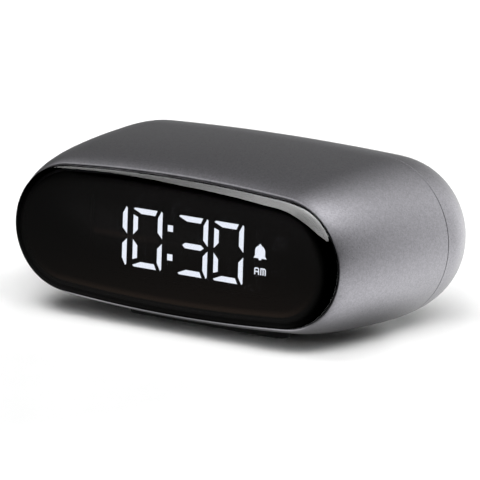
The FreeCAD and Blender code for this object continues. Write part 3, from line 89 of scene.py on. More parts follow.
# Both shells' edge at the seam, rounded: distance from the seam and inset of each ring.
EDGE = ((0.0, 0.07), (0.006, 0.042), (0.022, 0.02), (0.045, 0.006), (0.08, 0.0))
EDGE_RUN = 0.1

# The lip around the lens: how deep it is, its inner corner and its rounded front.
LIP_DEPTH = 0.55
LIP_CORNER = 0.01
LIP_CORNER_DEPTH = 0.04
LIP_ROUND_DEPTH = 0.2
LIP_ROUND_INSET = 0.16
LIP_STEPS = 8

# Inside the front shell: the opening for the display frame and the ledge that it sits on.
OPENING_INSET = 2.2
LEDGE_INSET = 4.8
LEDGE_FRONT = 3.2
LEDGE_BACK = 5.2
# Sound holes in the underside: rings of them around a middle.
SOUND_DEPTH = 23.5
SOUND_PITCH = 2.3
SOUND_RINGS = (1, 6, 12)
SOUND_RADIUS = 0.6
SOUND_TOP = 5

# The lens: the inset of the lip around it, its own inset, and its shoulder: how far it stands out,
# how far in it runs, and its fullness, where 1 is an ellipse and less is fuller.
LENS_LIP = 0.2
LENS_RIM = 0.25
LENS_CROWN = 2.6
LENS_EDGE = 4.4
LENS_FULLNESS = 0.56
# Inset and depth of each ring of its back edge.
LENS_BACK_EDGE = ((0.06, 0.4), (0.02, 0.38), (0.0, 0.3))

# The panel on the back, and the recess for it: the margin around the panel at its mouth, down its
# rounded edge with the distance in from the back, at its wall, and at the opening in its floor.
PANEL_HALF_WIDTH = 35.97
PANEL_HALF_HEIGHT = 9.4
PANEL_END_SHARE = 0.95
PANEL_BACK = 49.3
RECESS_MOUTH = 0.25
RECESS_EDGE = ((0.15, 0.03), (0.1, 0.12))
RECESS_MARGIN = 0.1
RECESS_OPENING = -3.0
RECESS_FLOOR = 47.95
BACK_INSIDE = 46.4

# Push buttons and printed marks.
BUTTON_FACE = 49.7
INNER_BUTTON = 15.47
OUTER_BUTTON = 24.47
PRINT_PROUD = 0.012
PRINT_SUNK = 0.004

# How finely curves are drawn.
END_POINTS = 44
FLAT_POINTS = 64
HOUSING_ROWS = 64
COVER_ROWS = 48
LENS_ROWS = 60
# Depths of rings inside the shells, and how far across the flat back its rings lie.
HOUSING_INSIDE = (28, 21, 14, 9)
COVER_INSIDE = (44, 41, 38)
BACK_SHARES = (0.12, 0.3, 0.5, 0.7, 0.88, 1.0)
SHARP_ANGLE = math.radians(35)


# ---------------------------------------------------------------- shape of the case
def fall(share):
    """How far a quarter ellipse of unit depth has fallen at this share of its run."""
    return 1 - math.sqrt(max(0.0, 1 - share * share))


def shoulder(depth, swell, reach, turn):
    """How far the front shoulder is still inside the widest section."""
    whole = math.sin(math.radians(turn))
    return swell * fall(max(0.0, 1 - depth / reach) * whole) / fall(whole)


def rounding(depth, run, inset):
    """How far the back edge has turned in."""
    return inset * fall(max(0.0, 1 - (BODY_DEPTH - depth) / run))


def section(depth, inset=0.0):
    """Half width, half height and end radius of the case at a depth."""
    wide = HALF_WIDTH - shoulder(depth, *SIDE_SWELL) - rounding(depth, *SIDE_ROUND)
    high = HALF_HEIGHT - shoulder(depth, *CROWN_SWELL) - rounding(depth, *CROWN_ROUND)
    share = 2 * depth / BODY_DEPTH
    end = (END_SHARE + END_GAIN_FRONT * min(1, share) + END_GAIN_BACK * max(0, share - 1)) * high
    return wide - inset, high - inset, end - inset


def rim_oval(inset):
    """The front rim's oval, moved inwards."""
    return RIM_HALF_WIDTH - inset, RIM_HALF_HEIGHT - inset, END_SHARE * RIM_HALF_HEIGHT - inset


def panel_oval(margin):
    """The back panel's oval with a margin around it."""
    high = PANEL_HALF_HEIGHT + margin
    return PANEL_HALF_WIDTH + margin, high, PANEL_END_SHARE * high


def arcs_of(size):
    """The four arcs of an oval: centre, radius and the angles where each starts and stops."""
    wide, high, end = size
    flat = ((wide - end) ** 2 + high ** 2 - end ** 2) / (2 * (high - end))
    turn = math.atan2(flat - high, wide - end)
    return ((wide - end, 0, end, -turn, turn), (0, high - flat, flat, turn, math.pi - turn),
            (end - wide, 0, end, math.pi - turn, math.pi + turn),
            (0, flat - high, flat, math.pi + turn, 2 * math.pi - turn))


def oval(size, depth):
    """A four-arc oval at a depth, as a ring of points in millimetres."""
    points = []
    for (x, z, radius, start, stop), count in zip(arcs_of(size), (END_POINTS, FLAT_POINTS) * 2):
        for step in range(count):
            angle = start + (stop - start) * step / count
            points.append((x + radius * math.cos(angle), RIM_Y + depth,
                           AXIS_Z + z + radius * math.sin(angle)))
    return points


def circle(x, y, radius, steps):
    """The points of a circle."""
    angles = [2 * math.pi * step / steps for step in range(steps)]
    return [(x + radius * math.cos(angle), y + radius * math.sin(angle)) for angle in angles]


def on_oval(size, angle):
    """The point of an oval whose outward direction has this angle, as (x, rise)."""
    for x, z, radius, start, stop in arcs_of(size):
        if start <= angle <= stop:
            return x + radius * math.cos(angle), z + radius * math.sin(angle)


# ---------------------------------------------------------------- meshes
def shade(mesh):
    """Smooth everywhere except across sharp edges."""
    for polygon in mesh.polygons:
        polygon.use_smooth = True
    mesh.set_sharp_from_angle(angle=SHARP_ANGLE)


def add_object(name, data):
    """A new object in the scene."""
    piece = bpy.data.objects.new(name, data)
    bpy.context.scene.collection.objects.link(piece)
    return piece


def mesh_of(name, build):
    """The mesh of a bmesh, which it frees."""
    mesh = bpy.data.meshes.new(name)
    build.to_mesh(mesh)
    build.free()
    return mesh


def smooth_piece(name, build):
    """A shaded piece from a bmesh, with its faces turned outwards."""
    bmesh.ops.recalc_face_normals(build, faces=build.faces)
    piece = add_object(name, mesh_of(name, build))
    shade(piece.data)
    return piece


def bridge(build, near, far):
    """The faces between two closed rows of equally many vertices."""
    for index in range(len(near)):
        after = (index + 1) % len(near)
        build.faces.new((near[index], near[after], far[after], far[index]))


def skin(name, rings, loop=False, caps=(False, False)):
    """A surface through rings of equally many points, in millimetres."""
    build = bmesh.new()
    rows = [[build.verts.new([MM * c for c in point]) for point in ring] for ring in rings]
    for near, far in zip(rows, rows[1:]):
        bridge(build, near, far)
    if loop:
        bridge(build, rows[-1], rows[0])
    if caps[0]:
        build.faces.new(rows[0])
    if caps[1]:
        build.faces.new(rows[-1])
    return smooth_piece(name, build)


POST_STEPS = 40


def post(name, x, y, radius, low, high):
    """An upright round cutter."""
    outline = circle(x, y, radius, POST_STEPS)
    return skin(name, [[(*point, z) for point in outline] for z in (low, high)], caps=(True, True))


BEVEL_SEGMENTS = 3


def soften(piece, width):
    """Rounds the sharp edges of a piece."""
    bevel = piece.modifiers.new("Rounded edges", "BEVEL")
    bevel.width = width * MM
    bevel.segments = BEVEL_SEGMENTS
    bevel.limit_method = "ANGLE"
    bevel.angle_limit = SHARP_ANGLE


def carve(piece, cutters):
    """Cuts the cutters out of a piece and deletes them."""
    for cutter in cutters:
        boolean = piece.modifiers.new("Opening", "BOOLEAN")
        boolean.operation = "DIFFERENCE"
        boolean.solver = "EXACT"
        boolean.object = cutter
    graph = bpy.context.evaluated_depsgraph_get()
    mesh = bpy.data.meshes.new_from_object(piece.evaluated_get(graph))
    piece.modifiers.clear()
    old = piece.data
    piece.data = mesh
    bpy.data.meshes.remove(old)
    shade(mesh)
    for cutter in cutters:
        data = cutter.data
        bpy.data.objects.remove(cutter)
        bpy.data.meshes.remove(data)


# ---------------------------------------------------------------- materials
# Most of a noise lies in the middle of its range, and most of a wide noise closer to it still.
MIDDLE = (0.3, 0.7)
CLOSE_MIDDLE = (0.35, 0.65)
GRAIN_DETAIL = 3.0
CLOUD_TO_GRAIN = 22
# The Mix node's colour sockets, which come after its sockets for numbers and vectors.
MIX_FIRST, MIX_SECOND, MIX_RESULT = 6, 7, 2


class Look:
    """A Principled material with its node tree."""

    def __init__(self, name):
        """A new material; its noises lie in the space of the object."""
        self.material = bpy.data.materials.new(name)
        self.material.use_nodes = True
        self.tree = self.material.node_tree
        self.surface = self.tree.nodes["Principled BSDF"]
        self.place = self.tree.nodes.new("ShaderNodeTexCoord").outputs["Object"]

    def set(self, **numbers):
        """Sets sockets by name, with an underscore for each space."""
        for name, number in numbers.items():
            self.surface.inputs[name.replace("_", " ")].default_value = number

    def link(self, start, end):
        """Joins two sockets."""
        self.tree.links.new(start, end)

    def noise(self, size, detail=2.0, rough=0.5, stretch=None):
        """Noise with features of about this size in millimetres."""
        texture = self.tree.nodes.new("ShaderNodeTexNoise")
        texture.inputs["Scale"].default_value = 1 / (size * MM)
        texture.inputs["Detail"].default_value = detail
        texture.inputs["Roughness"].default_value = rough
        place = self.place
        if stretch:
            mapping = self.tree.nodes.new("ShaderNodeMapping")
            mapping.inputs["Scale"].default_value = stretch
            self.link(place, mapping.inputs["Vector"])
            place = mapping.outputs["Vector"]
        self.link(place, texture.inputs["Vector"])
        return texture.outputs["Fac"]

    def flakes(self, size):
        """One random number for each flake of about this size in millimetres."""
        texture = self.tree.nodes.new("ShaderNodeTexVoronoi")
        texture.inputs["Scale"].default_value = 1 / (size * MM)
        self.link(self.place, texture.inputs["Vector"])
        split = self.tree.nodes.new("ShaderNodeSeparateColor")
        self.link(texture.outputs["Color"], split.inputs["Color"])
        return split.outputs["Red"]

    def blend(self, factor, first, second):
        """A colour between two, or between two sockets."""
        mix = self.tree.nodes.new("ShaderNodeMix")
        mix.data_type = "RGBA"
        for value, socket in ((first, mix.inputs[MIX_FIRST]), (second, mix.inputs[MIX_SECOND])):
            if isinstance(value, bpy.types.NodeSocket):
                self.link(value, socket)
            else:
                socket.default_value = (*value, 1)
        self.link(factor, mix.inputs[0])
        return mix.outputs[MIX_RESULT]

    def between(self, factor, low, high, start=0.0, end=1.0):
        """The factor from start to end mapped to low to high."""
        node = self.tree.nodes.new("ShaderNodeMapRange")
        for name, number in (("From Min", start), ("From Max", end), ("To Min", low), ("To Max", high)):
            node.inputs[name].default_value = number
        self.link(factor, node.inputs["Value"])
        return node.outputs["Result"]

    def bump(self, height, depth):
        """A bump this many millimetres deep."""
        node = self.tree.nodes.new("ShaderNodeBump")
        node.inputs["Distance"].default_value = depth * MM
        self.link(height, node.inputs["Height"])
        return node.outputs["Normal"]

    def use(self, **sockets):
        """Links sockets by name, with an underscore for each space."""
        for name, socket in sockets.items():
            self.link(socket, self.surface.inputs[name.replace("_", " ")])


def grained(name, dark, light, grain, rough, bump, stretch=None, **numbers):
    """A moulded, cut or plated surface: two close tones, uneven gloss and a fine relief."""
    look = Look(name)
    fine = look.noise(grain, GRAIN_DETAIL, stretch=stretch)
    cloud = look.noise(grain * CLOUD_TO_GRAIN)
    tone = look.blend(look.between(fine, 0, 1, *MIDDLE), dark, light)
    look.use(Base_Color=look.blend(look.between(cloud, 0, 0.35, *CLOSE_MIDDLE), tone, dark),
             Roughness=look.between(cloud, *rough, *MIDDLE),
             Normal=look.bump(fine, bump))
    look.set(**numbers)
    return look.material


def paint():
    """Gunmetal paint: fine flakes of different grey in a satin coat."""
    look = Look("case paint")
    coarse = look.flakes(size=0.30)
    fine = look.flakes(size=0.17)
    tone = look.blend(coarse, (0.193, 0.190, 0.205), (0.274, 0.270, 0.289))
    tone = look.blend(look.between(fine, 0, 0.5), tone, (0.233, 0.229, 0.246))
    grain = look.noise(size=0.22, rough=0.6)
    look.use(Base_Color=tone,
             Roughness=look.between(grain, 0.27, 0.36, *MIDDLE),
             Normal=look.bump(grain, depth=0.012))
    look.set(Metallic=1.0)
    return look.material


def lens_glass():
    """Smoked clear plastic with a polished face and the faintest haze."""
    look = Look("smoked lens")
    haze = look.noise(size=6.0)
    look.use(Base_Color=look.blend(haze, (0.44, 0.44, 0.455), (0.47, 0.47, 0.485)))
    look.set(IOR=1.49, Transmission_Weight=1.0, Roughness=0.0)
    return look.material


def lit():
    """A light guide that glows cool white, a little uneven as moulded diffusers are."""
    look = Look("lit diffuser")
    cloud = look.noise(size=2.4)
    grain = look.noise(size=0.2)
    look.use(Emission_Color=look.blend(cloud, (0.85, 0.91, 1.0), (0.92, 0.95, 1.0)),
             Emission_Strength=look.between(grain, 2.05, 2.3, *MIDDLE))
    look.set(Base_Color=(0.8, 0.85, 0.9, 1), Roughness=0.5)
    return look.material


PAINT = paint()
LOOKS = {
    "case_paint": PAINT,
    "lens_black": lens_glass(),
    "display_light": lit(),
    "panel_plastic": grained("panel plastic", (0.022, 0.022, 0.024), (0.036, 0.036, 0.038), 0.25,
                             (0.42, 0.52), 0.012),
    "button_plastic": grained("button plastic", (0.05, 0.05, 0.054), (0.07, 0.07, 0.074), 0.2,
                              (0.33, 0.42), 0.006),
    "foot_rubber": grained("foot rubber", (0.022, 0.022, 0.022), (0.035, 0.035, 0.035), 0.3,
                           (0.75, 0.9), 0.02),
    "frame_plastic": grained("frame plastic", (0.002, 0.002, 0.002), (0.003, 0.003, 0.003), 0.3,
                             (0.7, 0.9), 0.01, Specular_IOR_Level=0.03),
    "mask_black": grained("mask film", (0.0015, 0.0015, 0.0016), (0.002, 0.002, 0.0021), 0.4,
                          (0.7, 0.85), 0.002, Specular_IOR_Level=0.03),
    "reflector_white": grained("reflector white", (0.78, 0.78, 0.77), (0.86, 0.86, 0.85), 0.5,
                               (0.5, 0.7), 0.01),
    "display_unlit": grained("unlit diffuser", (0.0015, 0.0015, 0.0016), (0.002, 0.002, 0.0021), 0.4,
                             (0.7, 0.85), 0.002, Specular_IOR_Level=0.03),
    "light_chip": grained("light chip", (0.80, 0.70, 0.30), (0.95, 0.85, 0.45), 0.3,
                          (0.2, 0.35), 0.005),
    "circuit_board": grained("circuit board", (0.012, 0.085, 0.035), (0.02, 0.13, 0.055), 0.9,
                             (0.25, 0.4), 0.01),
    "chip_black": grained("moulded resin", (0.022, 0.022, 0.022), (0.035, 0.035, 0.035), 0.2,
                          (0.5, 0.65), 0.008),
    "chip_ceramic": grained("fired ceramic", (0.46, 0.37, 0.26), (0.58, 0.48, 0.35), 0.2,
                            (0.4, 0.6), 0.006),
    "connector_white": grained("white nylon", (0.72, 0.70, 0.63), (0.84, 0.82, 0.76), 0.4,
                               (0.45, 0.6), 0.01),
    "switch_metal": grained("tinned metal", (0.50, 0.50, 0.51), (0.66, 0.66, 0.67), 0.12,
                            (0.24, 0.36), 0.004, (1, 0.08, 1), Metallic=1.0),
    "screw_steel": grained("blackened steel", (0.09, 0.09, 0.095), (0.16, 0.16, 0.165), 0.15,
                           (0.3, 0.45), 0.006, Metallic=1.0),
    "battery_foil": grained("battery foil", (0.62, 0.62, 0.64), (0.78, 0.78, 0.80), 0.8,
                            (0.25, 0.4), 0.03, Metallic=1.0),
    "cone_paper": grained("cone paper", (0.03, 0.03, 0.03), (0.07, 0.07, 0.07), 0.25, (0.8, 0.95), 0.03),
    "foil_copper": grained("copper foil", (0.66, 0.34, 0.20), (0.80, 0.46, 0.30), 0.6, (0.2, 0.35),
                           0.01, Metallic=1.0),
    "tape": grained("foam tape", (0.02, 0.02, 0.02), (0.04, 0.04, 0.04), 0.2, (0.85, 0.95), 0.02),
    "lead_rubber": grained("lead insulation", (0.35, 0.02, 0.02), (0.5, 0.04, 0.04), 0.5,
                           (0.4, 0.55), 0.005),
}
PRINT = grained("printed marks", (0.62, 0.62, 0.63), (0.74, 0.74, 0.75), 0.15, (0.5, 0.65), 0.002)


def dress(piece, material, body="case", stands_for=()):
    """Gives a piece its material and its body, and hides the CAD nodes it stands for."""
    piece.data.materials.clear()
    piece.data.materials.append(material)
    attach(piece, body)
    if stands_for:
        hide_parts(*stands_for)
    return piece


# ---------------------------------------------------------------- case pieces
def sound_holes():
    """Cutters for the rings of sound holes."""
    cutters = []
    for ring, count in enumerate(SOUND_RINGS):
        for index in range(count):
            angle = 2 * math.pi * index / count
            cutters.append(post(f"hole_{ring}_{index}", SOUND_PITCH * ring * math.cos(angle),
                                RIM_Y + SOUND_DEPTH + SOUND_PITCH * ring * math.sin(angle),
                                SOUND_RADIUS, 0, SOUND_TOP))
    return cutters


def housing():
    """The front shell: lip, swelling shoulder, seam edge and the inside that can be seen."""
    rings = [oval(rim_oval(LENS_LIP), LIP_DEPTH), oval(rim_oval(LENS_LIP), LIP_CORNER_DEPTH),
             oval(rim_oval(LENS_LIP - LIP_CORNER), LIP_CORNER)]
    for step in range(LIP_STEPS):
        angle = math.pi / 2 * step / LIP_STEPS
        depth = LIP_ROUND_DEPTH * (1 - math.cos(angle))
        rings.append(oval(section(depth, LIP_ROUND_INSET * (1 - math.sin(angle))), depth))
    run = SEAM - EDGE_RUN - LIP_ROUND_DEPTH
    for row in range(HOUSING_ROWS + 1):
        depth = LIP_ROUND_DEPTH + run * (1 - math.cos(math.pi / 2 * row / HOUSING_ROWS))
        rings.append(oval(section(depth), depth))
    for back, inset in reversed(EDGE):
        rings.append(oval(section(SEAM - back, inset), SEAM - back))
    rebate = SEAM - REBATE_DEPTH
    rings += [oval(section(SEAM, REBATE_INSET), SEAM), oval(section(rebate, REBATE_INSET), rebate),
              oval(section(rebate, WALL), rebate)]
    rings += [oval(section(depth, WALL), depth) for depth in (*HOUSING_INSIDE, LEDGE_BACK)]
    rings += [oval(rim_oval(LEDGE_INSET), LEDGE_BACK), oval(rim_oval(LEDGE_INSET), LEDGE_FRONT),
              oval(rim_oval(OPENING_INSET), LEDGE_FRONT), oval(rim_oval(OPENING_INSET), LIP_DEPTH)]
    piece = skin("case_front", rings, loop=True)
    carve(piece, sound_holes())
    return dress(piece, PAINT, stands_for=("main_housing",))


def between_rings(outer, inner, share):
    """The ring at this share of the way from one ring to another."""
    return [tuple(a + (b - a) * share for a, b in zip(p, q)) for p, q in zip(outer, inner)]


def cover():
    """The back shell: seam edge, rounded back and the recess for the panel."""
    start = SEAM + SEAM_GAP
    rings = [oval(section(start, TONGUE_INSET), start)]
    rings += [oval(section(start + back, inset), start + back) for back, inset in EDGE]
    first = start + EDGE_RUN
    for row in range(COVER_ROWS + 1):
        depth = first + (BODY_DEPTH - first) * math.sin(math.pi / 2 * row / COVER_ROWS)
        rings.append(oval(section(depth), depth))
    outer, inner = rings[-1], oval(panel_oval(RECESS_MOUTH), BODY_DEPTH)
    rings += [between_rings(outer, inner, share) for share in BACK_SHARES]
    rings += [oval(panel_oval(margin), BODY_DEPTH - down) for margin, down in RECESS_EDGE]
    rings += [oval(panel_oval(RECESS_MARGIN), RECESS_FLOOR),
              oval(panel_oval(RECESS_OPENING), RECESS_FLOOR),
              oval(panel_oval(RECESS_OPENING), BACK_INSIDE),
              oval(section(BACK_INSIDE, WALL), BACK_INSIDE)]
    tongue = SEAM - TONGUE_DEPTH
    rings += [oval(section(depth, WALL), depth) for depth in (*COVER_INSIDE, tongue)]
    rings.append(oval(section(tongue, TONGUE_INSET), tongue))
    piece = skin("case_back", rings, loop=True)
    return dress(piece, PAINT, stands_for=("rear_cover",))


def lens_shoulder(tilt):
    """Inset and depth of the lens shoulder where its surface is tilted forwards this much."""
    ratio = (math.tan(tilt) * LENS_CROWN / LENS_EDGE) ** (1 / (2 - LENS_FULLNESS))
    angle = math.atan(ratio)
    inset = LENS_RIM + LENS_EDGE * (1 - math.cos(angle) ** LENS_FULLNESS)
    return inset, -LENS_CROWN * math.sin(angle) ** LENS_FULLNESS


def lens():
    """The domed lens: straight edge, full shoulder and polished flat face."""
    rings = [oval(rim_oval(LENS_RIM + edge), depth) for edge, depth in LENS_BACK_EDGE]
    rings.append(oval(rim_oval(LENS_RIM), 0.0))
    for row in range(1, LENS_ROWS):
        inset, depth = lens_shoulder(math.pi / 2 * row / LENS_ROWS)
        rings.append(oval(rim_oval(inset), depth))
    rings.append(oval(rim_oval(LENS_RIM + LENS_EDGE), -LENS_CROWN))
    piece = skin("lens", rings, caps=(True, True))
    return dress(piece, LOOKS["lens_black"], stands_for=("front_lens",))


# ---------------------------------------------------------------- printed marks
STROKE_STEPS = 8
LOOP_STEPS = 40
DISC_STEPS = 24
LETTER_PEN = 0.19
CLOCK_PEN = 0.24
HAND_PEN = 0.22
SIGN_PEN = 0.3


def stroke(start, end, width):
    """The outline of a straight pen stroke with round ends, from (x, rise) to (x, rise)."""
    along = Vector(end) - Vector(start)
    turn = math.atan2(along.y, along.x)
    points = []
    for (x, rise), first in ((end, turn - math.pi / 2), (start, turn + math.pi / 2)):
        for step in range(STROKE_STEPS + 1):
            angle = first + math.pi * step / STROKE_STEPS
            points.append((x + width / 2 * math.cos(angle), rise + width / 2 * math.sin(angle)))
    return [points]


def loop(wide, high, width):
    """The outlines of the quads of an elliptical ring with these half sizes and line width."""
    quads = []
    for step in range(LOOP_STEPS):
        first, last = (2 * math.pi * (step + more) / LOOP_STEPS for more in (0, 1))
        corners = ((wide, first), (wide, last), (wide - width, last), (wide - width, first))
        quads.append([(size * math.cos(turn), size / wide * high * math.sin(turn))
                      for size, turn in corners])
    return quads


def disc(x, rise, radius):
    """The outline of a filled circle."""
    return [circle(x, rise, radius, DISC_STEPS)]


def moved(outlines, x, rise):
    """Outlines moved to another place."""
    return [[(x + a, rise + b) for a, b in outline] for outline in outlines]


BELL_SIDE = ((1.12, -0.72), (1.1, -0.58), (0.86, -0.36), (0.74, -0.05), (0.7, 0.3), (0.56, 0.62),
             (0.32, 0.84), (0.14, 0.93))
BELL = ([[*BELL_SIDE, *((-x, rise) for x, rise in reversed(BELL_SIDE))]]
        + disc(0, 0.98, 0.2) + disc(0, -0.95, 0.3))
CLOCK = (loop(1.2, 1.2, CLOCK_PEN) + stroke((0, 0), (0, 0.72), HAND_PEN)
         + stroke((0, 0), (0.46, -0.28), HAND_PEN))
MINUS = stroke((-0.95, 0), (0.95, 0), SIGN_PEN)
PLUS = MINUS + stroke((0, -0.95), (0, 0.95), SIGN_PEN)
LETTER_O = loop(0.42, 0.6, LETTER_PEN)
LETTER_N = (stroke((-0.36, -0.5), (-0.36, 0.5), LETTER_PEN)
            + stroke((-0.36, 0.5), (0.36, -0.5), LETTER_PEN)
            + stroke((0.36, -0.5), (0.36, 0.5), LETTER_PEN))
LETTER_F = (stroke((-0.3, -0.5), (-0.3, 0.5), LETTER_PEN)
            + stroke((-0.3, 0.5), (0.34, 0.5), LETTER_PEN)
            + stroke((-0.3, 0.02), (0.22, 0.02), LETTER_PEN))
ON = moved(LETTER_O, -0.6, 0) + moved(LETTER_N, 0.6, 0)
OFF = moved(LETTER_O, -1.05, 0) + LETTER_F + moved(LETTER_F, 1.05, 0)

# Icons on the buttons: name, button, outlines and place along X.
ICONS = (("clock_icon", "clock_button", CLOCK, OUTER_BUTTON),
         ("minus_icon", "minus_button", MINUS, INNER_BUTTON),
         ("plus_icon", "plus_button", PLUS, -INNER_BUTTON),
         ("bell_icon", "alarm_button", BELL, -OUTER_BUTTON))
# Marks on the panel: name, outlines, place along X and rise.
MARKS = (("on_mark", ON, 8.3, 3.1), ("off_mark", OFF, 4.3, 3.1), ("alarm_mark", BELL, 6.3, -3.6))


def printed(name, outlines, x, rise, depth, body="case"):
    """Marks printed on a face that looks backwards, drawn as someone behind the clock reads them."""
    build = bmesh.new()
    for outline in outlines:
        rows = [[build.verts.new((MM * (x - a), MM * (RIM_Y + at), MM * (AXIS_Z + rise + b)))
                 for a, b in outline] for at in (depth - PRINT_SUNK, depth + PRINT_PROUD)]
        bridge(build, *rows)
        for row in rows:
            build.faces.new(row)
    return dress(smooth_piece(name, build), PRINT, body)


# ---------------------------------------------------------------- every piece of the clock
# Width of the rounded edges of CAD nodes that show.
ROUNDED = (("rear_panel", 0.2), ("alarm_slider", 0.12), ("charging_socket", 0.08),
           ("socket_tongue", 0.06))

for part in frame["record"]["subparts"]:
    finish = NODES[part["node"]].data.materials
    finish.clear()
    finish.append(LOOKS[part["material_slot"]])

housing()
cover()
lens()
for icon, button, outlines, x in ICONS:
    printed(icon, outlines, x, 0, BUTTON_FACE, button)
for mark, outlines, x, rise in MARKS:
    printed(mark, outlines, x, rise, PANEL_BACK)
for node, width in ROUNDED:
    soften(NODES[node], width)


# ---------------------------------------------------------------- floor, light and camera
# The camera at the photograph's angle: turned right, tilted down and rolled a little, in degrees.
# Its reach and how near it sees are in metres, the lens and sensor in millimetres, and the shift
# in shares of the sensor.
TURN, TILT, ROLL = (math.radians(angle) for angle in (34.0108, 12.3916, 1.1843))
CAMERA_AIM = Vector((0, -0.09 * MM, AXIS_Z * MM))
CAMERA_REACH = 1.14125
CAMERA_LENS = 384.82
CAMERA_SENSOR = 36
CAMERA_SHIFT = (0.00837, -0.0255)
CAMERA_NEAR = 0.05
CAMERA_BACK = Vector((math.sin(TURN) * math.cos(TILT), -math.cos(TURN) * math.cos(TILT), math.sin(TILT)))
CAMERA_PLACE = CAMERA_AIM + CAMERA_BACK * CAMERA_REACH

# The stage: half the size of the floor and of the sheet with its painted shadow, in metres, and the
# backdrop and the dome of the room, in millimetres.
FLOOR_HALF = 8.0
SHADE_HALF = 0.12
PLANE_CELLS = 8
BACKDROP = 3000
BACKDROP_LOW = -50
BACKDROP_STEPS = 64
BACKDROP_GLOW = 1.02
DOME = 4000
DOME_STEPS = 32
DOME_ROWS = 16

# A direction of the studio is how far round it is, from the front to the right, and how high, in
# degrees.  LAMPS light matt surfaces and the floor: direction and irradiance.
LAMPS = ((-27, 66, 0.7), (90, 48, 0.75), (18, 48, 1.4), (54, 48, 1.05), (29, 30, 1.05), (0, 12, 0.3),
         (180, 12, 3.8))
LAMP_SPREAD = math.radians(24)
# What the paint mirrors: direction, sharpness and radiance of each soft lobe.
ROOM = ((140, -10, 3, 1.0),     # pale wall to the right and behind
        (120, 65, 12, 1.8),     # softbox overhead
        (140, 65, 6, 0.9),      # ceiling around it
        (140, 40, 20, 0.4),     # top of the wall
        (160, 15, 20, 0.8),     # low softbox behind
        (180, -10, 12, 1.4),    # table's edge behind
        (95, -30, 12, 1.1),     # table to the right
        (140, -35, 12, 0.8),    # table behind
        (140, -60, 12, 0.9),    # table under the back
        (-100, 40, 12, 0.65),   # dim fill from the left
        (-140, -10, 20, 0.2),   # dim table to the left
        (35, 45, 15, 1.6),      # the last five are for the lip around the lens
        (0, 48, 15, 1.9),
        (-43, 37, 15, 1.45),
        (-65, -55, 15, 2.3),
        (-110, -52, 15, 1.4))
OUTSIDE = ("case_front", "case_back", "rear_panel", "rear_panel_tape", "clock_button", "minus_button",
           "plus_button", "alarm_button", "alarm_slider", "charging_socket", "socket_tongue",
           "front_foot", "rear_foot", "clock_icon", "minus_icon", "plus_icon", "bell_icon", "on_mark",
           "off_mark", "alarm_mark")
# The room shines only in rays that no matt surface has scattered: their diffuse depth, 0, is
# below this.
SCATTERED = 0.5
# The painted shadow that the paint mirrors on the floor: a dark pool around the footprint that stands
# in for the floor's shadow in reflections. Half its width and depth, the shares of them where its edge
# starts and stops, how much light its middle lets through, and its height.
SHADOW_WIDE = 57 * MM
SHADOW_DEEP = 36 * MM
SHADOW_START = 0.5
SHADOW_STOP = 1.0
SHADOW_LOW = 0.15
SHADOW_RISE = 0.05 * MM
# What the lens mirrors of the unlit room, by colour: a dim front and floor, and the warm edge of a
# table low in front.
LENS_VIEW = (((1.0, 0.98, 0.96), ((-36, -21, 45, 0.165), (-61, -49, 14, 0.10), (-83, -31, 14, 0.09))),
             ((1.0, 0.64, 0.45), ((-36.2, -15.2, 3000, 0.16), (-34.6, -15.2, 3000, 0.16),
                                  (-33.0, -15.2, 3000, 0.16))))
# The softbox that the lens mirrors as the band on its shoulder.  It is smooth through these rows:
# the outward direction of the lens outline, the tilts of the shoulder where the band starts and
# stops, in degrees, and its radiance at both.
LENS_BAND = ((105, 34, 40, 2.2, 2.2), (97, 30, 46, 2.4, 2.4), (93, 22, 52, 2.6, 2.6),
             (90, 24, 70, 2.6, 3.4), (87, 24, 77, 4.2, 6.2), (85, 24, 80, 6.6, 7.2),
             (75, 20, 81.5, 9.0, 6.6), (64, 8, 82, 9.5, 4.4), (55, 3, 80, 8.0, 4.5),
             (45, 3, 75.5, 6.5, 5.0), (39, 3, 67.5, 6.0, 5.4), (35, 3, 57.5, 6.0, 5.2),
             (31, 8, 37, 4.8, 4.6), (29.5, 18, 26, 3.5, 3.5))
BAND_COLUMNS = 8
BAND_STEPS = 12
BAND_REACH = 1.3


def camera():
    """A long lens, set a little off its axis as the photograph is cropped."""
    right = Vector((math.cos(TURN), math.sin(TURN), 0))
    up = CAMERA_BACK.cross(right)
    across = right * math.cos(ROLL) + up * math.sin(ROLL)
    over = up * math.cos(ROLL) - right * math.sin(ROLL)
    data = bpy.data.cameras.new("Camera")
    data.lens = CAMERA_LENS
    data.sensor_width = CAMERA_SENSOR
    data.shift_x, data.shift_y = CAMERA_SHIFT
    data.clip_start = CAMERA_NEAR
    piece = add_object("Camera", data)
    piece.matrix_world = Matrix([*zip(across, over, CAMERA_BACK, CAMERA_PLACE), (0, 0, 0, 1)])
    bpy.context.scene.camera = piece


def stage_plane(name, half, material):
    """A level sheet of the stage, with half its size in metres."""
    build = bmesh.new()
    bmesh.ops.create_grid(build, x_segments=PLANE_CELLS, y_segments=PLANE_CELLS, size=half)
    piece = add_object(name, mesh_of(name, build))
    piece.data.materials.append(material)
    return piece


def studio_floor():
    """The pale matt floor, which reflections leave out."""
    look = grained("studio floor", (0.86, 0.86, 0.86), (0.88, 0.88, 0.88), 40.0, (0.9, 0.95), 0.0,
                   Specular_IOR_Level=0.0)
    piece = stage_plane("studio_floor", FLOOR_HALF, look)
    piece.visible_glossy = piece.visible_transmission = False


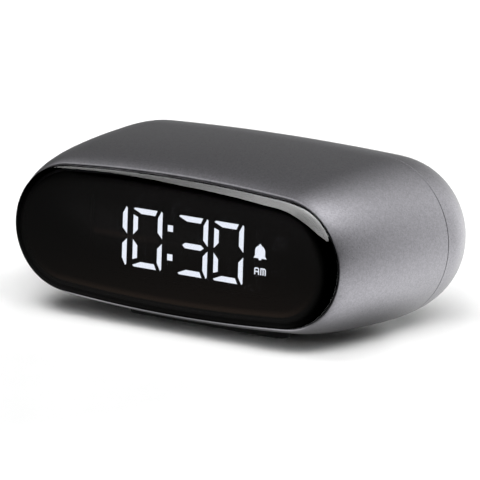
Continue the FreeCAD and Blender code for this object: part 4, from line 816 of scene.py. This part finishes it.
def backdrop():
    """A pale sheet around the stage that only the camera sees, so that low views have a background."""
    outline = circle(0, 0, BACKDROP, BACKDROP_STEPS)
    rings = [[(*point, z) for point in outline] for z in (BACKDROP_LOW, BACKDROP)]
    piece = skin("studio_backdrop", rings, caps=(False, True))
    look = Look("backdrop")
    look.use(Emission_Color=look.blend(look.noise(size=900.0), (0.98, 0.98, 0.98), (1.0, 1.0, 1.0)))
    look.set(Base_Color=(0, 0, 0, 1), Specular_IOR_Level=0.0, Emission_Strength=BACKDROP_GLOW)
    piece.data.materials.append(look.material)
    piece.visible_diffuse = piece.visible_glossy = False
    piece.visible_transmission = piece.visible_shadow = False


def towards(turn, height):
    """The unit vector towards a direction of the studio."""
    turn, height = math.radians(turn), math.radians(height)
    return Vector((math.sin(turn) * math.cos(height), -math.cos(turn) * math.cos(height),
                   math.sin(height)))


def lamp(turn, height, irradiance):
    """A large soft light far away, that reflections leave out."""
    data = bpy.data.lights.new("studio lamp", "SUN")
    data.angle = LAMP_SPREAD
    data.energy = irradiance
    light = add_object("studio lamp", data)
    light.matrix_world = towards(turn, height).to_track_quat("Z", "Y").to_matrix().to_4x4()
    light.visible_camera = light.visible_glossy = light.visible_transmission = False


def glow(piece):
    """Makes a piece of the stage a sheet of light that rays pass through."""
    material = bpy.data.materials.new(piece.name)
    material.use_nodes = True
    material.cycles.emission_sampling = "NONE"
    tree = material.node_tree
    tree.nodes.remove(tree.nodes["Principled BSDF"])
    emission = tree.nodes.new("ShaderNodeEmission")
    clear = tree.nodes.new("ShaderNodeBsdfTransparent")
    both = tree.nodes.new("ShaderNodeAddShader")
    tree.links.new(emission.outputs[0], both.inputs[0])
    tree.links.new(clear.outputs[0], both.inputs[1])
    tree.links.new(both.outputs[0], tree.nodes["Material Output"].inputs["Surface"])
    piece.data.materials.append(material)
    return tree, emission.inputs["Strength"]


def only_mirrored(piece):
    """Lets a sheet be seen only as a reflection."""
    piece.visible_camera = piece.visible_diffuse = False
    piece.visible_transmission = piece.visible_shadow = False


def shine_on(piece, shown_in):
    """Lets a sheet of light be seen only as a reflection in these pieces."""
    receivers = bpy.data.collections.new(f"{piece.name} receivers")
    for receiver in shown_in:
        receivers.objects.link(receiver)
    piece.light_linking.receiver_collection = receivers
    only_mirrored(piece)


def combine(tree, operation, *values):
    """The result of a Math node on numbers and sockets."""
    node = tree.nodes.new("ShaderNodeMath")
    node.operation = operation
    for value, socket in zip(values, node.inputs):
        if isinstance(value, bpy.types.NodeSocket):
            tree.links.new(value, socket)
        else:
            socket.default_value = value
    return node.outputs["Value"]


def lobes(tree, place, rows):
    """The sum of soft lobes of light, from (round, height, sharpness, strength)."""
    unit = tree.nodes.new("ShaderNodeVectorMath")
    unit.operation = "NORMALIZE"
    tree.links.new(place, unit.inputs[0])
    total = 0.0
    for turn, height, sharpness, strength in rows:
        dot = tree.nodes.new("ShaderNodeVectorMath")
        dot.operation = "DOT_PRODUCT"
        dot.inputs[1].default_value = towards(turn, height)
        tree.links.new(unit.outputs["Vector"], dot.inputs[0])
        narrow = combine(tree, "MULTIPLY_ADD", dot.outputs["Value"], sharpness, -sharpness)
        total = combine(tree, "MULTIPLY_ADD", combine(tree, "EXPONENT", narrow), strength, total)
    return total


def room():
    """The room that the outside shows: a dome of soft lights that leaves the floor's shadow alone."""
    tilts = [math.pi * row / DOME_ROWS for row in range(1, DOME_ROWS)]
    rings = [[(*point, DOME * math.cos(tilt))
              for point in circle(0, 0, DOME * math.sin(tilt), DOME_STEPS)] for tilt in tilts]
    piece = skin("room_dome", rings, caps=(True, True))
    tree, strength = glow(piece)
    place = tree.nodes.new("ShaderNodeTexCoord").outputs["Object"]
    scatters = tree.nodes.new("ShaderNodeLightPath").outputs["Diffuse Depth"]
    direct = combine(tree, "LESS_THAN", scatters, SCATTERED)
    tree.links.new(combine(tree, "MULTIPLY", direct, lobes(tree, place, ROOM)), strength)
    shine_on(piece, [shown for shown in bpy.data.objects if shown.name in OUTSIDE])


def floor_shade():
    """Painted shadow: the dark pool on the floor around the clock's footprint, as the paint mirrors it.
    """
    material = bpy.data.materials.new("floor shade")
    piece = stage_plane("floor_shade", SHADE_HALF, material)
    piece.location.z = SHADOW_RISE
    material.use_nodes = True
    tree = material.node_tree
    tree.nodes.remove(tree.nodes["Principled BSDF"])
    stretch = tree.nodes.new("ShaderNodeVectorMath")
    stretch.operation = "MULTIPLY"
    stretch.inputs[1].default_value = (1 / SHADOW_WIDE, 1 / SHADOW_DEEP, 0)
    tree.links.new(tree.nodes.new("ShaderNodeTexCoord").outputs["Object"], stretch.inputs[0])
    reach = tree.nodes.new("ShaderNodeVectorMath")
    reach.operation = "LENGTH"
    tree.links.new(stretch.outputs["Vector"], reach.inputs[0])
    passed = tree.nodes.new("ShaderNodeMapRange")
    passed.interpolation_type = "SMOOTHSTEP"
    for name, number in (("From Min", SHADOW_START), ("From Max", SHADOW_STOP), ("To Min", SHADOW_LOW)):
        passed.inputs[name].default_value = number
    tree.links.new(reach.outputs["Value"], passed.inputs["Value"])
    # Painted shadow: a clear sheet, darker towards the footprint, that only reflections see through.
    clear = tree.nodes.new("ShaderNodeBsdfTransparent")
    tree.links.new(passed.outputs["Result"], clear.inputs["Color"])
    tree.links.new(clear.outputs[0], tree.nodes["Material Output"].inputs["Surface"])
    only_mirrored(piece)


def lens_view():
    """What the lens shows of the unlit room: almost black, a little light low in front."""
    world = bpy.data.worlds.new("Lens view")
    world.use_nodes = True
    bpy.context.scene.world = world
    world.cycles_visibility.diffuse = False
    tree = world.node_tree
    tree.nodes.remove(tree.nodes["Background"])
    place = tree.nodes.new("ShaderNodeTexCoord").outputs["Generated"]
    total = None
    for colour, rows in LENS_VIEW:
        background = tree.nodes.new("ShaderNodeBackground")
        background.inputs["Color"].default_value = (*colour, 1)
        tree.links.new(lobes(tree, place, rows), background.inputs["Strength"])
        shader = background.outputs["Background"]
        if total:
            both = tree.nodes.new("ShaderNodeAddShader")
            tree.links.new(total, both.inputs[0])
            tree.links.new(shader, both.inputs[1])
            shader = both.outputs["Shader"]
        total = shader
    tree.links.new(total, tree.nodes["World Output"].inputs["Surface"])


def mirrored_in_lens(turn, tilt):
    """The point that the camera sees mirrored in the lens shoulder at this turn and tilt."""
    inset, depth = lens_shoulder(tilt)
    x, rise = on_oval(rim_oval(inset), turn)
    point = MM * Vector((x, RIM_Y + depth, AXIS_Z + rise))
    normal = Vector((math.cos(turn) * math.cos(tilt), -math.sin(tilt), math.sin(turn) * math.cos(tilt)))
    seen = (CAMERA_PLACE - point).normalized()
    return point + BAND_REACH * (2 * normal.dot(seen) * normal - seen)


def smooth_between(before, near, far, after, share):
    """The value at this share of the way from near to far, on a smooth curve through all four."""
    start, stop, change = (far - before) / 2, (after - near) / 2, far - near
    bend = start + stop - 2 * change
    return near + share * (start + share * (3 * change - 2 * start - stop + share * bend))


def band_rows():
    """The band's rows, with smooth ones between each two."""
    ends = (LENS_BAND[0], *LENS_BAND, LENS_BAND[-1])
    for four in zip(ends, ends[1:], ends[2:], ends[3:]):
        for column in range(BAND_COLUMNS):
            yield [smooth_between(*values, column / BAND_COLUMNS) for values in zip(*four)]
    yield LENS_BAND[-1]


def lens_softbox():
    """A curved reflector above and behind that only the lens shows, as the band on its shoulder."""
    build = bmesh.new()
    layer = build.verts.layers.float.new("radiance")
    columns = []
    for turn, start, stop, first, last in band_rows():
        column = []
        for step in range(BAND_STEPS + 1):
            share = step / BAND_STEPS
            tilt = math.radians(start + (stop - start) * share)
            vertex = build.verts.new(mirrored_in_lens(math.radians(turn), tilt))
            vertex[layer] = first + (last - first) * share
            column.append(vertex)
        columns.append(column)
    for near, far in zip(columns, columns[1:]):
        for step in range(BAND_STEPS):
            build.faces.new((near[step], near[step + 1], far[step + 1], far[step]))
    piece = add_object("lens_softbox", mesh_of("lens_softbox", build))
    tree, strength = glow(piece)
    radiance = tree.nodes.new("ShaderNodeAttribute")
    radiance.attribute_name = "radiance"
    tree.links.new(radiance.outputs["Fac"], strength)
    shine_on(piece, [bpy.data.objects["lens"]])


studio_floor()
backdrop()
lens_softbox()
for turn, height, irradiance in LAMPS:
    lamp(turn, height, irradiance)
room()
floor_shade()
lens_view()
camera()
bpy.context.scene.view_settings.view_transform = "Standard"
bpy.context.scene.view_settings.look = "None"
